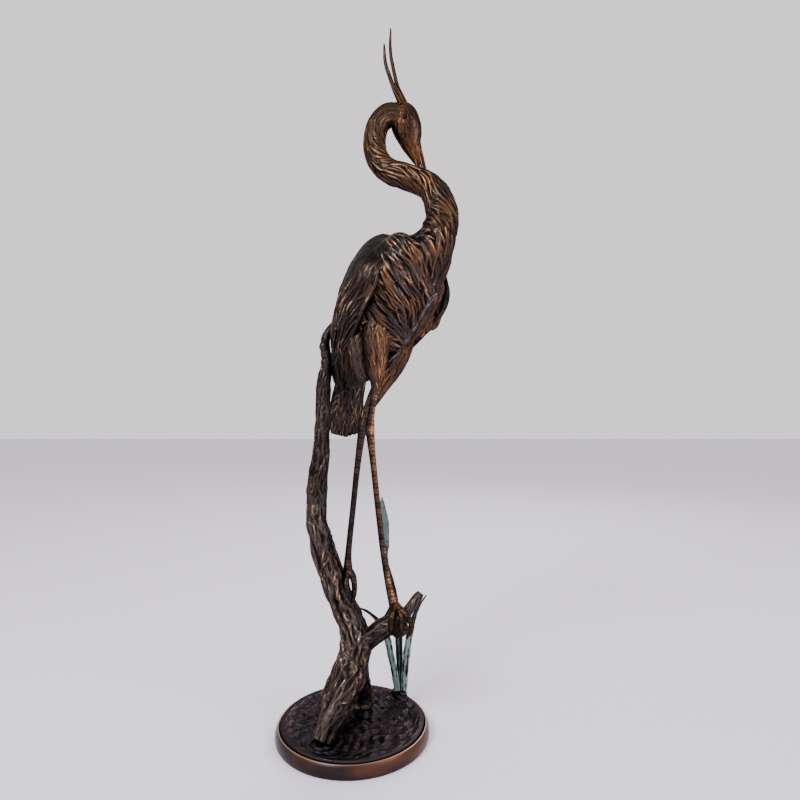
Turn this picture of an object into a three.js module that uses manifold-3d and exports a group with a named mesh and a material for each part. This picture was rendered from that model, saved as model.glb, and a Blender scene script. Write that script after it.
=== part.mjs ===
// A cast bronze crane preening the back of its neck. It stands on a forked tree trunk with three
// reed leaves beside it, all on a low round plinth with a rippled pool on top.
// Millimetres, +Z up. The origin is the centre of the plinth's underside, and the statue is seen from -Y.

import * as THREE from 'three';
import Module from 'manifold-3d';

const wasm = await Module();
wasm.setup();

// Driving dimensions.
const PLINTH_RADIUS = 153;
const PLINTH_HEIGHT = 26;
const PLINTH_SEAT_RADIUS = 144;
const PLINTH_SEAT_DEPTH = 8;
const PLINTH_SIDES = 32;
const POOL_RADIUS = 142.5;
const POOL_RIM_WIDTH = 13;
const POOL_RIM_HEIGHT = 30;
const POOL_WATER_HEIGHT = 27;
const RIPPLE_HEIGHT = 1.6;
const RIPPLE_SPACING = 17;
const TOUCHING_GAP = 0.3;
const BODY_CENTRE = [79, 2, 872];
const BODY_HEADING_DEG = 50;
const BODY_RISE_DEG = 49;

// The bird's own directions: along runs from tail to breast, left is its left side, back is its back.
const HEADING = THREE.MathUtils.degToRad(BODY_HEADING_DEG);
const RISE = THREE.MathUtils.degToRad(BODY_RISE_DEG);
const FORWARD = new THREE.Vector3(Math.cos(HEADING), -Math.sin(HEADING), 0);
const LEFT = new THREE.Vector3(Math.sin(HEADING), Math.cos(HEADING), 0);
const ALONG = FORWARD.clone().multiplyScalar(Math.cos(RISE)).add(new THREE.Vector3(0, 0, Math.sin(RISE)));
const BACK = FORWARD.clone().multiplyScalar(-Math.sin(RISE)).add(new THREE.Vector3(0, 0, Math.cos(RISE)));

// A point given in millimetres along the body, to its left and towards its back.
function bodyPoint(along, left, back) {
  return new THREE.Vector3(...BODY_CENTRE)
    .addScaledVector(ALONG, along)
    .addScaledVector(LEFT, left)
    .addScaledVector(BACK, back);
}

// Smooth values through rows of numbers, one row for each station, at share t of the way.
function through(rows, t) {
  const place = Math.min(Math.max(t, 0), 1) * (rows.length - 1);
  const i = Math.min(Math.floor(place), rows.length - 2);
  const f = place - i;
  const row = (k) => rows[Math.min(Math.max(k, 0), rows.length - 1)];
  return rows[i].map((b, column) => {
    const a = row(i - 1)[column];
    const c = row(i + 1)[column];
    const d = row(i + 2)[column];
    return b + 0.5 * f * (c - a + f * (2 * a - 5 * b + 4 * c - d + f * (3 * (b - c) + d - a)));
  });
}

// A solid from shared points and triangles of their numbers.
function solid(points, triangles) {
  return new wasm.Manifold(
    new wasm.Mesh({
      numProp: 3,
      vertProperties: new Float32Array(points.flatMap((p) => p.toArray())),
      triVerts: new Uint32Array(triangles.flat()),
    }),
  );
}

// A closed solid whose rings follow stations [x, y, z, half width, half depth].
// The half width lies along the direction `side`; carve(t, k) moves point k of a ring outwards,
// and twist(t) turns the points round the ring.
function loft(rows, rings, sides, side, carve = () => 0, twist = () => 0) {
  const points = [];
  const triangles = [];
  const centre = (t) => new THREE.Vector3(...through(rows, t).slice(0, 3));
  const step = 0.5 / rings;
  for (let r = 0; r <= rings; r += 1) {
    const t = r / rings;
    const [, , , halfWidth, halfDepth] = through(rows, t);
    const tangent = centre(t + step).sub(centre(t - step)).normalize();
    const wide = side(t).clone().addScaledVector(tangent, -side(t).dot(tangent)).normalize();
    const deep = tangent.clone().cross(wide);
    for (let k = 0; k < sides; k += 1) {
      const angle = (2 * Math.PI * k) / sides + twist(t);
      const out = carve(t, k);
      points.push(
        centre(t)
          .addScaledVector(wide, (halfWidth + out) * Math.cos(angle))
          .addScaledVector(deep, (halfDepth + out) * Math.sin(angle)),
      );
      if (r < rings) {
        const here = r * sides + k;
        const next = r * sides + ((k + 1) % sides);
        triangles.push([here, next, next + sides], [here, next + sides, here + sides]);
      }
    }
  }
  const first = points.push(centre(0)) - 1;
  const last = points.push(centre(1)) - 1;
  for (let k = 0; k < sides; k += 1) {
    const next = (k + 1) % sides;
    triangles.push([first, next, k], [last, rings * sides + k, rings * sides + next]);
  }
  return solid(points, triangles);
}

// A round limb through stations [x, y, z, radius].
function limb(rows, rings, sides, carve) {
  const side = () => new THREE.Vector3(0.1, 1, 0.05);
  return loft(rows.map((row) => [...row, row[3]]), rings, sides, side, carve);
}

function union(solids) {
  return wasm.Manifold.union(solids);
}

function geometryOf(manifold) {
  const mesh = manifold.getMesh();
  const geometry = new THREE.BufferGeometry();
  geometry.setAttribute('position', new THREE.BufferAttribute(new Float32Array(mesh.vertProperties), 3));
  geometry.setIndex(new THREE.BufferAttribute(new Uint32Array(mesh.triVerts), 1));
  return geometry;
}

// Stations of the torso: along, back, half width, half depth, in the bird's own directions.
const TORSO = [
  [-172, 4, 22, 14],
  [-142, 2, 42, 34],
  [-100, 0, 62, 58],
  [-50, 0, 78, 78],
  [0, 0, 84, 87],
  [46, -2, 82, 84],
  [88, -8, 71, 69],
];

// Stations of the neck from the breast to the back of the head: x, y, z, half width, half depth.
const NECK = [
  [150, -61, 958, 49, 43],
  [172, -65, 1001, 35, 33],
  [170, -64, 1037, 29, 29],
  [151, -58, 1073, 26, 25.5],
  [109, -47, 1095, 24.5, 24],
  [71, -34, 1114, 23.5, 23],
  [49, -21, 1146, 23, 22.5],
  [44, -9, 1184, 22.5, 22],
  [52, 0, 1219, 22.5, 22],
  [72, 5, 1239, 22.5, 23],
  [94, 8, 1238, 21, 25],
];

// Head and the two halves of the bill: x, y, z, half width, half depth.
const HEAD = [
  [84, 7, 1240, 15, 18],
  [101, 8, 1240, 20, 27],
  [107, 9, 1221, 21, 30],
  [112, 8.5, 1202, 18, 27],
  [117, 8, 1183, 14, 20.5],
  [122.5, 7, 1169, 10.5, 16.5],
  [128, 6, 1154, 7.5, 12],
  [131, 5, 1142, 4, 7],
];
const UPPER_BILL = [
  [129, 7, 1180, 6, 6],
  [136, 5, 1160, 6, 5.5],
  [144, 1, 1125, 4.5, 4.5],
  [155, -5, 1078, 1.5, 1.5],
];
const LOWER_BILL = [
  [116, 7, 1178, 6, 6],
  [126, 5, 1156, 6, 6],
  [135, 1, 1120, 4.5, 4],
  [151, -5, 1076, 1.5, 1.5],
];

// Crest plumes: x, y, z, radius.
const CREST_RIGHT = [
  [119, 9, 1232, 5],
  [106, 10, 1262, 7.5],
  [88, 12, 1306, 5],
  [78, 14, 1352, 4],
  [75, 15, 1393, 3],
  [75, 15, 1421, 1],
];
const CREST_LEFT = [
  [106, 3, 1238, 5],
  [96, 0, 1264, 6.5],
  [78.5, -3, 1298, 5.5],
  [68.5, -5, 1329, 4.5],
  [63.5, -6, 1357, 3],
  [62.5, -6, 1377, 1],
];

// Locks of the torso and neck: rows of ridges that rise to a tip and drop, each row set half a ridge over.
const LOCK_ROWS = 17;
const LOCK_HEIGHT = 3;
const NECK_START = 0.36;
const NECK_TWIST = 1.5;
const SPINE_RINGS = 47;
const SPINE_SIDES = 20;

function spine() {
  const torsoRows = TORSO.map(([along, back, width, depth]) => [
    ...bodyPoint(along, 0, back).toArray(), width, depth,
  ]);
  const across = new THREE.Vector3(0, 1, 0);
  const side = (t) => LEFT.clone().lerp(across, THREE.MathUtils.smoothstep(t, 0.3, 0.6));
  const twist = (t) => NECK_TWIST * THREE.MathUtils.smoothstep(t, NECK_START, 1);
  const locks = (t, k) => {
    const rise = (t * LOCK_ROWS + (Math.floor(k / 2) % 2) * 0.5) % 1;
    return k % 2 ? -0.5 * LOCK_HEIGHT : LOCK_HEIGHT * (0.5 + 0.5 * rise);
  };
  return loft([...torsoRows, ...NECK], SPINE_RINGS, SPINE_SIDES, side, locks, twist);
}

function head() {
  const across = () => new THREE.Vector3(0, 1, 0);
  return union([
    loft(HEAD, 11, 12, across),
    loft(UPPER_BILL, 5, 6, across),
    loft(LOWER_BILL, 5, 6, across),
    limb(CREST_RIGHT, 6, 6),
    limb(CREST_LEFT, 6, 6),
  ]);
}

// A folded wing: rows of stations from its lower edge round its outside to the middle of the back.
// Stations are along, outwards, back; turn is -1 for the right wing and 1 for the left.
const WING = [
  [[100, 56, -4], [68, 79, -25], [41, 87, -42], [9, 91, -46], [-28, 88, -42], [-78, 80, -34], [-134, 64, -28], [-192, 46, -34]],
  [[96, 58, 14], [64, 92, 12], [32, 105, 2], [-8, 109, -2], [-48, 102, -2], [-98, 86, -4], [-150, 66, -8], [-204, 46, -20]],
  [[96, 42, 48], [66, 52, 84], [25, 65, 84], [-15, 70, 76], [-52, 72, 66], [-105, 70, 52], [-160, 57, 34], [-212, 42, 6]],
  [[104, 14, 50], [84, 20, 97], [20, 24, 102], [-20, 30, 96], [-58, 32, 86], [-112, 32, 68], [-170, 33, 46], [-214, 34, 14]],
  [[102, 2, 48], [80, 0, 89], [15, 0, 93], [-25, 0, 88], [-65, 0, 76], [-115, 2, 58], [-165, 10, 40], [-210, 24, 8]],
];
const WING_RINGS = 16;
const WING_STRIPS = 9;
const WING_THICKNESS = 22;
const COVERT_ROWS = 6;
const COVERT_HEIGHT = 4;

// A point of the wing's outside at share p towards the tail and q towards the back.
function wingPoint(p, q, turn, spread) {
  const [along, out, back] = through(WING.map((row) => through(row, p)), q);
  return bodyPoint(along, turn * (out + spread * (1 - q)), back);
}

function wing(turn, spread) {
  const points = [];
  const triangles = [];
  const width = WING_STRIPS + 1;
  const outer = [];
  const inner = [];
  for (let i = 0; i <= WING_RINGS; i += 1) {
    for (let j = 0; j <= WING_STRIPS; j += 1) {
      const [p, q] = [i / WING_RINGS, j / WING_STRIPS];
      const point = wingPoint(p, q, turn, spread);
      const along = wingPoint(p + 0.02, q, turn, spread).sub(wingPoint(p - 0.02, q, turn, spread));
      const around = wingPoint(p, q + 0.02, turn, spread).sub(wingPoint(p, q - 0.02, turn, spread));
      const out = along.cross(around).multiplyScalar(turn).normalize();
      const edge = i === 0 || i === WING_RINGS || j === 0 || j === WING_STRIPS;
      const covert = COVERT_HEIGHT * (((p * COVERT_ROWS + (j % 2) * 0.5) % 1) - 0.5);
      outer.push(points.push(point.clone().addScaledVector(out, edge ? 0 : covert)) - 1);
      const thickness = WING_THICKNESS * Math.sin(Math.PI * q) ** 0.5 * Math.sin(Math.PI * p) ** 0.3;
      inner.push(edge ? outer.at(-1) : points.push(point.addScaledVector(out, -thickness)) - 1);
    }
  }
  for (let i = 0; i < WING_RINGS; i += 1) {
    for (let j = 0; j < WING_STRIPS; j += 1) {
      const a = i * width + j;
      const corners = [a, a + width, a + width + 1, a + 1];
      for (const face of [outer, inner]) {
        const quad = corners.map((n) => face[n]);
        if ((face === inner) !== (turn === -1)) {
          quad.reverse();
        }
        triangles.push([quad[0], quad[1], quad[2]], [quad[0], quad[2], quad[3]]);
      }
    }
  }
  return solid(points, triangles);
}

// A flat feather along a path of points, widest past its middle and facing away from the body.
function feather(path, halfWidth, halfThickness) {
  const shape = [0.6, 0.85, 1, 0.95, 0.35];
  const rows = shape.map((width, i) => {
    const [x, y, z] = through(path.map((p) => p.toArray()), i / (shape.length - 1));
    return [x, y, z, halfWidth * width, halfThickness];
  });
  const along = path.at(-1).clone().sub(path[0]);
  const across = along.cross(BACK).normalize();
  return loft(rows, 4, 6, () => across);
}

const TAIL_FEATHERS = 5;
const TAIL_BEND = [-15, 106, 700];
const TAIL_TIP = [-28, 142, 586];

function tail() {
  const feathers = [];
  for (let i = 0; i < TAIL_FEATHERS; i += 1) {
    const fan = i / (TAIL_FEATHERS - 1) - 0.5;
    const root = bodyPoint(-120, 44 * fan, 10);
    const bend = new THREE.Vector3(...TAIL_BEND).add(new THREE.Vector3(44 * fan, 22 * fan, 0));
    const tip = new THREE.Vector3(...TAIL_TIP).add(new THREE.Vector3(54 * fan, 26 * fan, 14 * Math.abs(fan)));
    feathers.push(feather([root, bend, tip], 13, 6 + 4 * (1 - Math.abs(2 * fan))));
  }
  return union(feathers);
}

// Legs: x, y, z, radius. The thigh is feathered, and the joint below it is the knobbly ankle.
const NEAR_THIGH = [
  [62, -8, 858, 12],
  [51, -28, 818, 28],
  [48, -34, 775, 26],
  [48, -33, 735, 20],
  [48, -29, 700, 11],
  [46, -27, 680, 6.5],
];
const NEAR_THIGH_BACK = [
  [40, 24, 850, 12],
  [17, -3, 805, 24],
  [14, -10, 760, 22],
  [20, -10, 725, 17],
  [28, -12, 704, 8],
];
const NEAR_LEG = [
  [46, -28, 700, 7.5],
  [42, -26, 665, 7],
  [38, -23, 640, 7],
  [35, -20, 612, 9.5],
  [37, -20, 588, 8],
  [42, -20, 540, 6.2],
  [51, -19, 455, 6],
  [61, -17, 370, 6.2],
  [72, -14, 300, 6.8],
  [80, -12, 268, 9],
  [84, -12, 250, 10],
];
const FAR_THIGH = [
  [96, 26, 850, 26],
  [92, 42, 790, 31],
  [80, 47, 745, 26],
  [56, 49, 700, 18],
  [32, 48, 655, 11],
  [20, 47, 625, 8],
];
const FAR_LEG = [
  [27, 48, 645, 8.5],
  [18, 46, 613, 10.5],
  [13, 46, 585, 8],
  [5, 43, 520, 6.5],
  [-2, 38, 450, 6.2],
  [-11, 32, 360, 6.5],
  [-12, 27, 325, 9],
  [-8, 22, 308, 9],
];

function legs() {
  return union([
    limb(NEAR_THIGH, 8, 10),
    limb(NEAR_THIGH_BACK, 5, 8),
    limb(NEAR_LEG, 14, 6),
    limb(FAR_THIGH, 8, 10),
    limb(FAR_LEG, 11, 6),
  ]);
}

// Toes: x, y, z, radius, curling over the branch and down the trunk.
const TOES = [
  [[86, -14, 262, 8], [98, -30, 256, 6], [110, -40, 246, 6], [117, -42, 232, 5.5], [115, -40, 218, 4.5], [107, -39, 206, 2]],
  [[84, -14, 262, 8], [80, -32, 252, 6], [77, -40, 240, 5.5], [77, -40, 226, 4.5], [75, -36, 212, 2]],
  [[86, -12, 260, 8], [95, -34, 252, 6], [97, -42, 241, 5], [97, -43, 229, 4], [96, -42, 219, 2]],
  [[84, -12, 262, 8], [76, -11, 247, 7.5], [66, -10, 232, 6], [54, -9, 221, 3]],
  [[-10, 24, 320, 8], [-5, 16, 314, 6.5], [1, 10, 302, 6], [3, 4, 288, 5.5], [2, 0, 275, 5], [-2, -4, 262, 2]],
  [[-11, 22, 320, 8], [-13, 8, 308, 6], [-13, -2, 296, 5.5], [-10, -8, 283, 5], [-8, -10, 272, 2]],
  [[-10, 24, 320, 8], [-2, 28, 308, 6], [1, 30, 294, 5.5], [1, 30, 280, 5], [-3, 30, 268, 2]],
];

function toes() {
  return union(TOES.map((rows) => limb(rows, 5, 5)));
}

function crane() {
  const parts = [spine(), head(), wing(-1, 0), wing(1, 15), tail(), legs(), toes()];
  return union(parts);
}

// Trunk: x, y, z, radius, from the split log at the front up to the curled twig behind the wing.
const TRUNK = [
  [-52, -84, 30, 19],
  [-33, -57, 70, 25],
  [-14, -34, 106, 29],
  [1, -12, 143, 31],
  [4, 0, 176, 30],
  [-4, 8, 219, 26],
  [-21, 14, 254, 24.5],
  [-37, 18, 289, 24],
  [-51, 22, 330, 24.5],
  [-66, 26, 374, 22],
  [-76, 30, 421, 20.5],
  [-77, 34, 471, 20],
  [-73, 38, 522, 18],
  [-68, 42, 584, 15.5],
  [-66, 46, 646, 15.5],
  [-65, 50, 698, 14],
  [-59, 54, 742, 11.5],
  [-63, 57, 776, 10.5],
  [-61, 60, 799, 8.5],
  [-52, 66, 818, 7.5],
  [-44, 74, 830, 6],
];
const BRANCH = [
  [0, 2, 158, 20],
  [14, 0, 172, 20],
  [36, -4, 194, 18.5],
  [60, -8, 213, 18],
  [80, -9, 227, 18],
  [96, -8, 233, 15],
];
const RAISED_STUB = [
  [86, -11, 226, 12],
  [100, -8, 235, 11],
  [114, -5, 252, 10],
  [130, 0, 272, 9.5],
  [136, 2, 280, 6.5],
];
const FRONT_STUB = [
  [86, -4, 224, 16],
  [90, -18, 222, 19],
  [92, -32, 221, 18],
];
const RIGHT_ROOT = [
  [6, 6, 165, 20],
  [10, 24, 125, 20],
  [12, 46, 80, 20],
  [14, 60, 44, 22],
  [14, 62, 26, 25],
];
const LEFT_ROOT = [
  [-4, 6, 165, 18],
  [-20, 22, 125, 18],
  [-35, 40, 85, 20],
  [-48, 56, 44, 23],
  [-50, 58, 26, 26],
];
const BARK_DEPTH = 2;

// The whole tree, with all its wood grown outwards by `extra`.
function trunk(extra) {
  const bark = (t, k) => extra + (k % 2 ? -BARK_DEPTH : BARK_DEPTH * Math.cos(9 * t + k));
  return union([
    limb(TRUNK, 28, 12, bark),
    limb(BRANCH, 6, 10, bark),
    limb(RAISED_STUB, 4, 8, bark),
    limb(FRONT_STUB, 2, 10, bark),
    limb(RIGHT_ROOT, 5, 10, bark),
    limb(LEFT_ROOT, 5, 10, bark),
  ]);
}

// Reed leaves: x, y, z, half width, half thickness.
const REEDS = {
  reed_left: [
    [89, 90, 34, 6.5, 2],
    [83, 87, 80, 7.5, 2],
    [76, 82, 115, 8, 2],
    [68, 72, 158, 8, 2],
    [54, 64, 193, 6.5, 1.8],
    [35, 58, 216, 5, 1.6],
    [16, 54, 229, 3.5, 1.4],
    [0, 52, 234, 1.2, 1],
  ],
  reed_right: [
    [103, 91, 34, 6.5, 2],
    [105, 91, 80, 7.5, 2],
    [108, 90, 115, 8, 2],
    [113, 87, 150, 8, 2],
    [121, 82, 190, 6.5, 1.8],
    [132, 76, 223, 4, 1.6],
    [151, 70, 254, 1.2, 1],
  ],
  reed_tall: [
    [94, 99, 34, 5.5, 2],
    [94, 100, 75, 7, 2],
    [93, 97, 120, 8, 2],
    [91, 81, 172, 8.5, 2],
    [86, 56, 232, 8, 2],
    [78, 43, 284, 6.5, 2],
    [66, 34, 335, 5, 2],
    [60, 28, 376, 9, 2],
    [58, 22, 418, 9.5, 1.8],
    [57, 15, 455, 5, 1.5],
    [58, 11, 471, 1.2, 1],
  ],
};

function reed(rows) {
  return loft(rows, 12, 6, () => new THREE.Vector3(1, -0.25, 0));
}

// The pool's disc: ripples ring the foot of the log inside a smooth rim.
const RIPPLE_CENTRES = [[-48, -84], [72, -30]];

function poolHeight(x, y) {
  const fromRim = (POOL_RADIUS - Math.hypot(x, y)) / POOL_RIM_WIDTH;
  const rim = Math.max(0, 1 - Math.max(0, fromRim - 0.4)) * (POOL_RIM_HEIGHT - POOL_WATER_HEIGHT);
  const water = RIPPLE_CENTRES.reduce((sum, [cx, cy]) => {
    const away = Math.hypot(x - cx, y - cy);
    return sum + RIPPLE_HEIGHT * Math.cos((2 * Math.PI * away) / RIPPLE_SPACING) * Math.exp(-away / 90);
  }, 0);
  return POOL_WATER_HEIGHT + rim + (fromRim > 1.2 ? water : 0);
}

// The clump of mud that the reeds grow from: x, y, z, half width along the rim, half depth.
const CLUMP = [
  [92, 90, 22, 27, 12],
  [93, 91, 30, 22, 10],
  [94, 92, 36, 15, 7],
];

const POOL_RINGS = 8;
const POOL_SIDES = 32;

function pool() {
  const points = [new THREE.Vector3(0, 0, poolHeight(0, 0))];
  const triangles = [];
  const seat = PLINTH_HEIGHT - PLINTH_SEAT_DEPTH + TOUCHING_GAP;
  const ringStart = (r) => 1 + (r - 1) * POOL_SIDES;
  for (let r = 1; r <= POOL_RINGS + 1; r += 1) {
    const radius = POOL_RADIUS * Math.min(1, r / POOL_RINGS);
    for (let k = 0; k < POOL_SIDES; k += 1) {
      const angle = (2 * Math.PI * k) / POOL_SIDES;
      const [x, y] = [radius * Math.cos(angle), radius * Math.sin(angle)];
      points.push(new THREE.Vector3(x, y, r > POOL_RINGS ? seat : poolHeight(x, y)));
      const next = (k + 1) % POOL_SIDES;
      if (r === 1) {
        triangles.push([0, 1 + k, 1 + next]);
      } else {
        const [inner, outer] = [ringStart(r - 1), ringStart(r)];
        triangles.push([inner + k, outer + k, outer + next], [inner + k, outer + next, inner + next]);
      }
    }
  }
  const under = points.push(new THREE.Vector3(0, 0, seat)) - 1;
  const last = ringStart(POOL_RINGS + 1);
  for (let k = 0; k < POOL_SIDES; k += 1) {
    triangles.push([under, last + ((k + 1) % POOL_SIDES), last + k]);
  }
  return union([solid(points, triangles), loft(CLUMP, 3, 10, () => new THREE.Vector3(-1, 1, 0))]);
}

// The plinth: a smooth swelling band with a rounded top edge and a shallow seat for the pool.
function plinthGeometry() {
  const seat = PLINTH_HEIGHT - PLINTH_SEAT_DEPTH;
  const profile = [
    [0, 0],
    [PLINTH_RADIUS - 1, 0],
    [PLINTH_RADIUS, 9],
    [PLINTH_RADIUS - 2, 19],
    [PLINTH_RADIUS - 6, PLINTH_HEIGHT],
    [PLINTH_SEAT_RADIUS, PLINTH_HEIGHT - 2],
    [PLINTH_SEAT_RADIUS, seat],
    [0, seat],
  ];
  const geometry = new THREE.LatheGeometry(profile.map(([x, y]) => new THREE.Vector2(x, y)), PLINTH_SIDES);
  return geometry.rotateX(Math.PI / 2);
}

const BRONZE = new THREE.MeshStandardMaterial({ color: 0x4a3020, roughness: 0.42, metalness: 1 });
const BARK_BRONZE = new THREE.MeshStandardMaterial({ color: 0x3a2a20, roughness: 0.5, metalness: 1 });
const POOL_BRONZE = new THREE.MeshStandardMaterial({ color: 0x1e1a1c, roughness: 0.35, metalness: 1 });
const PLINTH_BRONZE = new THREE.MeshStandardMaterial({ color: 0x6b4630, roughness: 0.35, metalness: 1 });
const VERDIGRIS = new THREE.MeshStandardMaterial({ color: 0x7fa898, roughness: 0.7, metalness: 0.3 });

const statue = new THREE.Group();

function add(name, geometry, material) {
  const mesh = new THREE.Mesh(geometry, material);
  mesh.name = name;
  statue.add(mesh);
}

const water = pool();
const clearOfWater = water.translate([0, 0, TOUCHING_GAP]);
const tree = trunk(0).subtract(clearOfWater);
const bird = crane().subtract(trunk(TOUCHING_GAP));
add('plinth', plinthGeometry(), PLINTH_BRONZE);
add('pool', geometryOf(water), POOL_BRONZE);
add('trunk', geometryOf(tree), BARK_BRONZE);
add('crane', geometryOf(bird), BRONZE);
for (const [name, rows] of Object.entries(REEDS)) {
  add(name, geometryOf(reed(rows).subtract(clearOfWater)), VERDIGRIS);
}

export default statue;
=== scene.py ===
"""A crane statue fountain in patinated bronze. The crane, its neck looped and its bill tucked down,
stands on the branch of a twisted tree trunk, which rises with three reed leaves from a round pool
on a low round plinth. All sizes are in metres, with +Z up and the front towards -Y."""

import bpy
import numpy as np
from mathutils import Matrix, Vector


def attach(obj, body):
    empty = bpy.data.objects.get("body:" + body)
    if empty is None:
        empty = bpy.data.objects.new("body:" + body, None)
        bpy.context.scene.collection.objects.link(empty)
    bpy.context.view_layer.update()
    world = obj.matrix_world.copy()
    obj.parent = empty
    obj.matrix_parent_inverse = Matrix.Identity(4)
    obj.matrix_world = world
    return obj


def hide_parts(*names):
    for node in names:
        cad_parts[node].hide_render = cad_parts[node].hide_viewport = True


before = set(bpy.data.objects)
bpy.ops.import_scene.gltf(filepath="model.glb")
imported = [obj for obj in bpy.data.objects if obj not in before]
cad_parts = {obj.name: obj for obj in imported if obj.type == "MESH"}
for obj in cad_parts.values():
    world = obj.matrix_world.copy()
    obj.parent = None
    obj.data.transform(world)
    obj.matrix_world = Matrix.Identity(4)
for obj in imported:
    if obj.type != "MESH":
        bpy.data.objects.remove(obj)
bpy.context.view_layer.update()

# Plinth and pool, and the gap left between parts that touch
PLINTH_RADIUS = 0.153
PLINTH_HEIGHT = 0.026
SEAT_RADIUS = 0.144
SEAT_DEPTH = 0.008
TOUCHING_GAP = 0.0003
POOL_RADIUS = 0.1425
POOL_RIM_WIDTH = 0.015
POOL_RIM_HEIGHT = 0.030
POOL_WATER_HEIGHT = 0.027

# The bird's body: its centre, which way its breast points and how steeply it rises, and its own
# directions: along to the breast, to its left and to its back
BODY_CENTRE = np.array([0.079, 0.002, 0.872])
HEADING = np.radians(50)
RISE = np.radians(49)
FORWARD = np.array([np.cos(HEADING), -np.sin(HEADING), 0.0])
LEFT = np.array([np.sin(HEADING), np.cos(HEADING), 0.0])
UP = np.array([0.0, 0.0, 1.0])
ALONG = FORWARD * np.cos(RISE) + UP * np.sin(RISE)
BACK = UP * np.cos(RISE) - FORWARD * np.sin(RISE)
# The wide directions of the rings: into the depth of the view for the head, along most limbs and
# wood, and across the reeds' flat blades
ACROSS = np.array([0.0, 1.0, 0.0])
LIMB_SIDE = np.array([0.1, 1.0, 0.05])
REED_SIDE = np.array([1.0, -0.25, 0.0])

# Stations of the torso: along, back, half width, half depth. Stations of the neck, head and bill:
# x, y, z, half width, half depth. Stations of crests, legs, toes and wood: x, y, z, radius.
TORSO = [
    [-0.172, 0.004, 0.022, 0.014],
    [-0.142, 0.002, 0.042, 0.034],
    [-0.1, 0.0, 0.062, 0.058],
    [-0.05, 0.0, 0.078, 0.078],
    [0.0, 0.0, 0.084, 0.087],
    [0.046, -0.002, 0.082, 0.084],
    [0.088, -0.008, 0.071, 0.069],
]
NECK = [
    [0.15, -0.061, 0.958, 0.049, 0.043],
    [0.172, -0.065, 1.001, 0.035, 0.033],
    [0.17, -0.064, 1.037, 0.029, 0.029],
    [0.151, -0.058, 1.073, 0.026, 0.0255],
    [0.109, -0.047, 1.095, 0.0245, 0.024],
    [0.071, -0.034, 1.114, 0.0235, 0.023],
    [0.049, -0.021, 1.146, 0.023, 0.0225],
    [0.044, -0.009, 1.184, 0.0225, 0.022],
    [0.052, 0.0, 1.219, 0.0225, 0.022],
    [0.072, 0.005, 1.239, 0.0225, 0.023],
    [0.094, 0.008, 1.238, 0.021, 0.025],
]
HEAD = [
    [0.084, 0.007, 1.24, 0.02, 0.0235],
    [0.101, 0.008, 1.24, 0.021, 0.0268],
    [0.107, 0.009, 1.221, 0.021, 0.03],
    [0.112, 0.0085, 1.202, 0.018, 0.027],
    [0.117, 0.008, 1.183, 0.014, 0.0205],
    [0.1225, 0.007, 1.169, 0.0105, 0.0165],
    [0.128, 0.006, 1.154, 0.0075, 0.012],
    [0.131, 0.005, 1.142, 0.004, 0.007],
]
UPPER_BILL = [
    [0.129, 0.007, 1.18, 0.006, 0.006],
    [0.136, 0.005, 1.16, 0.006, 0.0055],
    [0.144, 0.001, 1.125, 0.0045, 0.0045],
    [0.155, -0.005, 1.078, 0.0015, 0.0015],
]
LOWER_BILL = [
    [0.116, 0.007, 1.178, 0.006, 0.006],
    [0.126, 0.005, 1.156, 0.006, 0.006],
    [0.135, 0.001, 1.12, 0.0045, 0.004],
    [0.151, -0.005, 1.076, 0.0015, 0.0015],
]
CREST_RIGHT = [
    [0.119, 0.009, 1.232, 0.005],
    [0.106, 0.01, 1.262, 0.0065],
    [0.088, 0.012, 1.306, 0.004],
    [0.078, 0.014, 1.352, 0.0034],
    [0.075, 0.015, 1.393, 0.0026],
    [0.075, 0.015, 1.421, 0.001],
]
CREST_LEFT = [
    [0.106, 0.003, 1.238, 0.005],
    [0.096, 0.0, 1.264, 0.0058],
    [0.0785, -0.003, 1.298, 0.0042],
    [0.0685, -0.005, 1.329, 0.0036],
    [0.0635, -0.006, 1.357, 0.0026],
    [0.0625, -0.006, 1.377, 0.001],
]
WING = [
    [
      [0.1, 0.056, -0.004], [0.068, 0.079, -0.025], [0.041, 0.087, -0.042],
      [0.009, 0.091, -0.046], [-0.028, 0.088, -0.042], [-0.078, 0.08, -0.034],
      [-0.134, 0.064, -0.028], [-0.192, 0.046, -0.034],
    ],
    [
      [0.096, 0.058, 0.014], [0.064, 0.092, 0.012], [0.032, 0.105, 0.002],
      [-0.008, 0.109, -0.002], [-0.048, 0.102, -0.002], [-0.098, 0.086, -0.004],
      [-0.15, 0.066, -0.008], [-0.204, 0.046, -0.02],
    ],
    [
      [0.096, 0.042, 0.048], [0.066, 0.052, 0.084], [0.025, 0.065, 0.084],
      [-0.015, 0.07, 0.076], [-0.052, 0.072, 0.066], [-0.105, 0.07, 0.052],
      [-0.16, 0.057, 0.034], [-0.212, 0.042, 0.006],
    ],
    [
      [0.104, 0.014, 0.05], [0.084, 0.02, 0.097], [0.02, 0.024, 0.102],
      [-0.02, 0.03, 0.096], [-0.058, 0.032, 0.086], [-0.112, 0.032, 0.068],
      [-0.17, 0.033, 0.046], [-0.214, 0.034, 0.014],
    ],
    [
      [0.102, 0.002, 0.048], [0.08, 0.0, 0.089], [0.015, 0.0, 0.093],
      [-0.025, 0.0, 0.088], [-0.065, 0.0, 0.076], [-0.115, 0.002, 0.058],
      [-0.165, 0.01, 0.04], [-0.21, 0.024, 0.008],
    ],
]
NEAR_THIGH = [
    [0.062, -0.008, 0.858, 0.012],
    [0.051, -0.028, 0.818, 0.028],
    [0.048, -0.034, 0.775, 0.026],
    [0.048, -0.033, 0.735, 0.02],
    [0.048, -0.029, 0.7, 0.011],
    [0.046, -0.027, 0.68, 0.0065],
]
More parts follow.
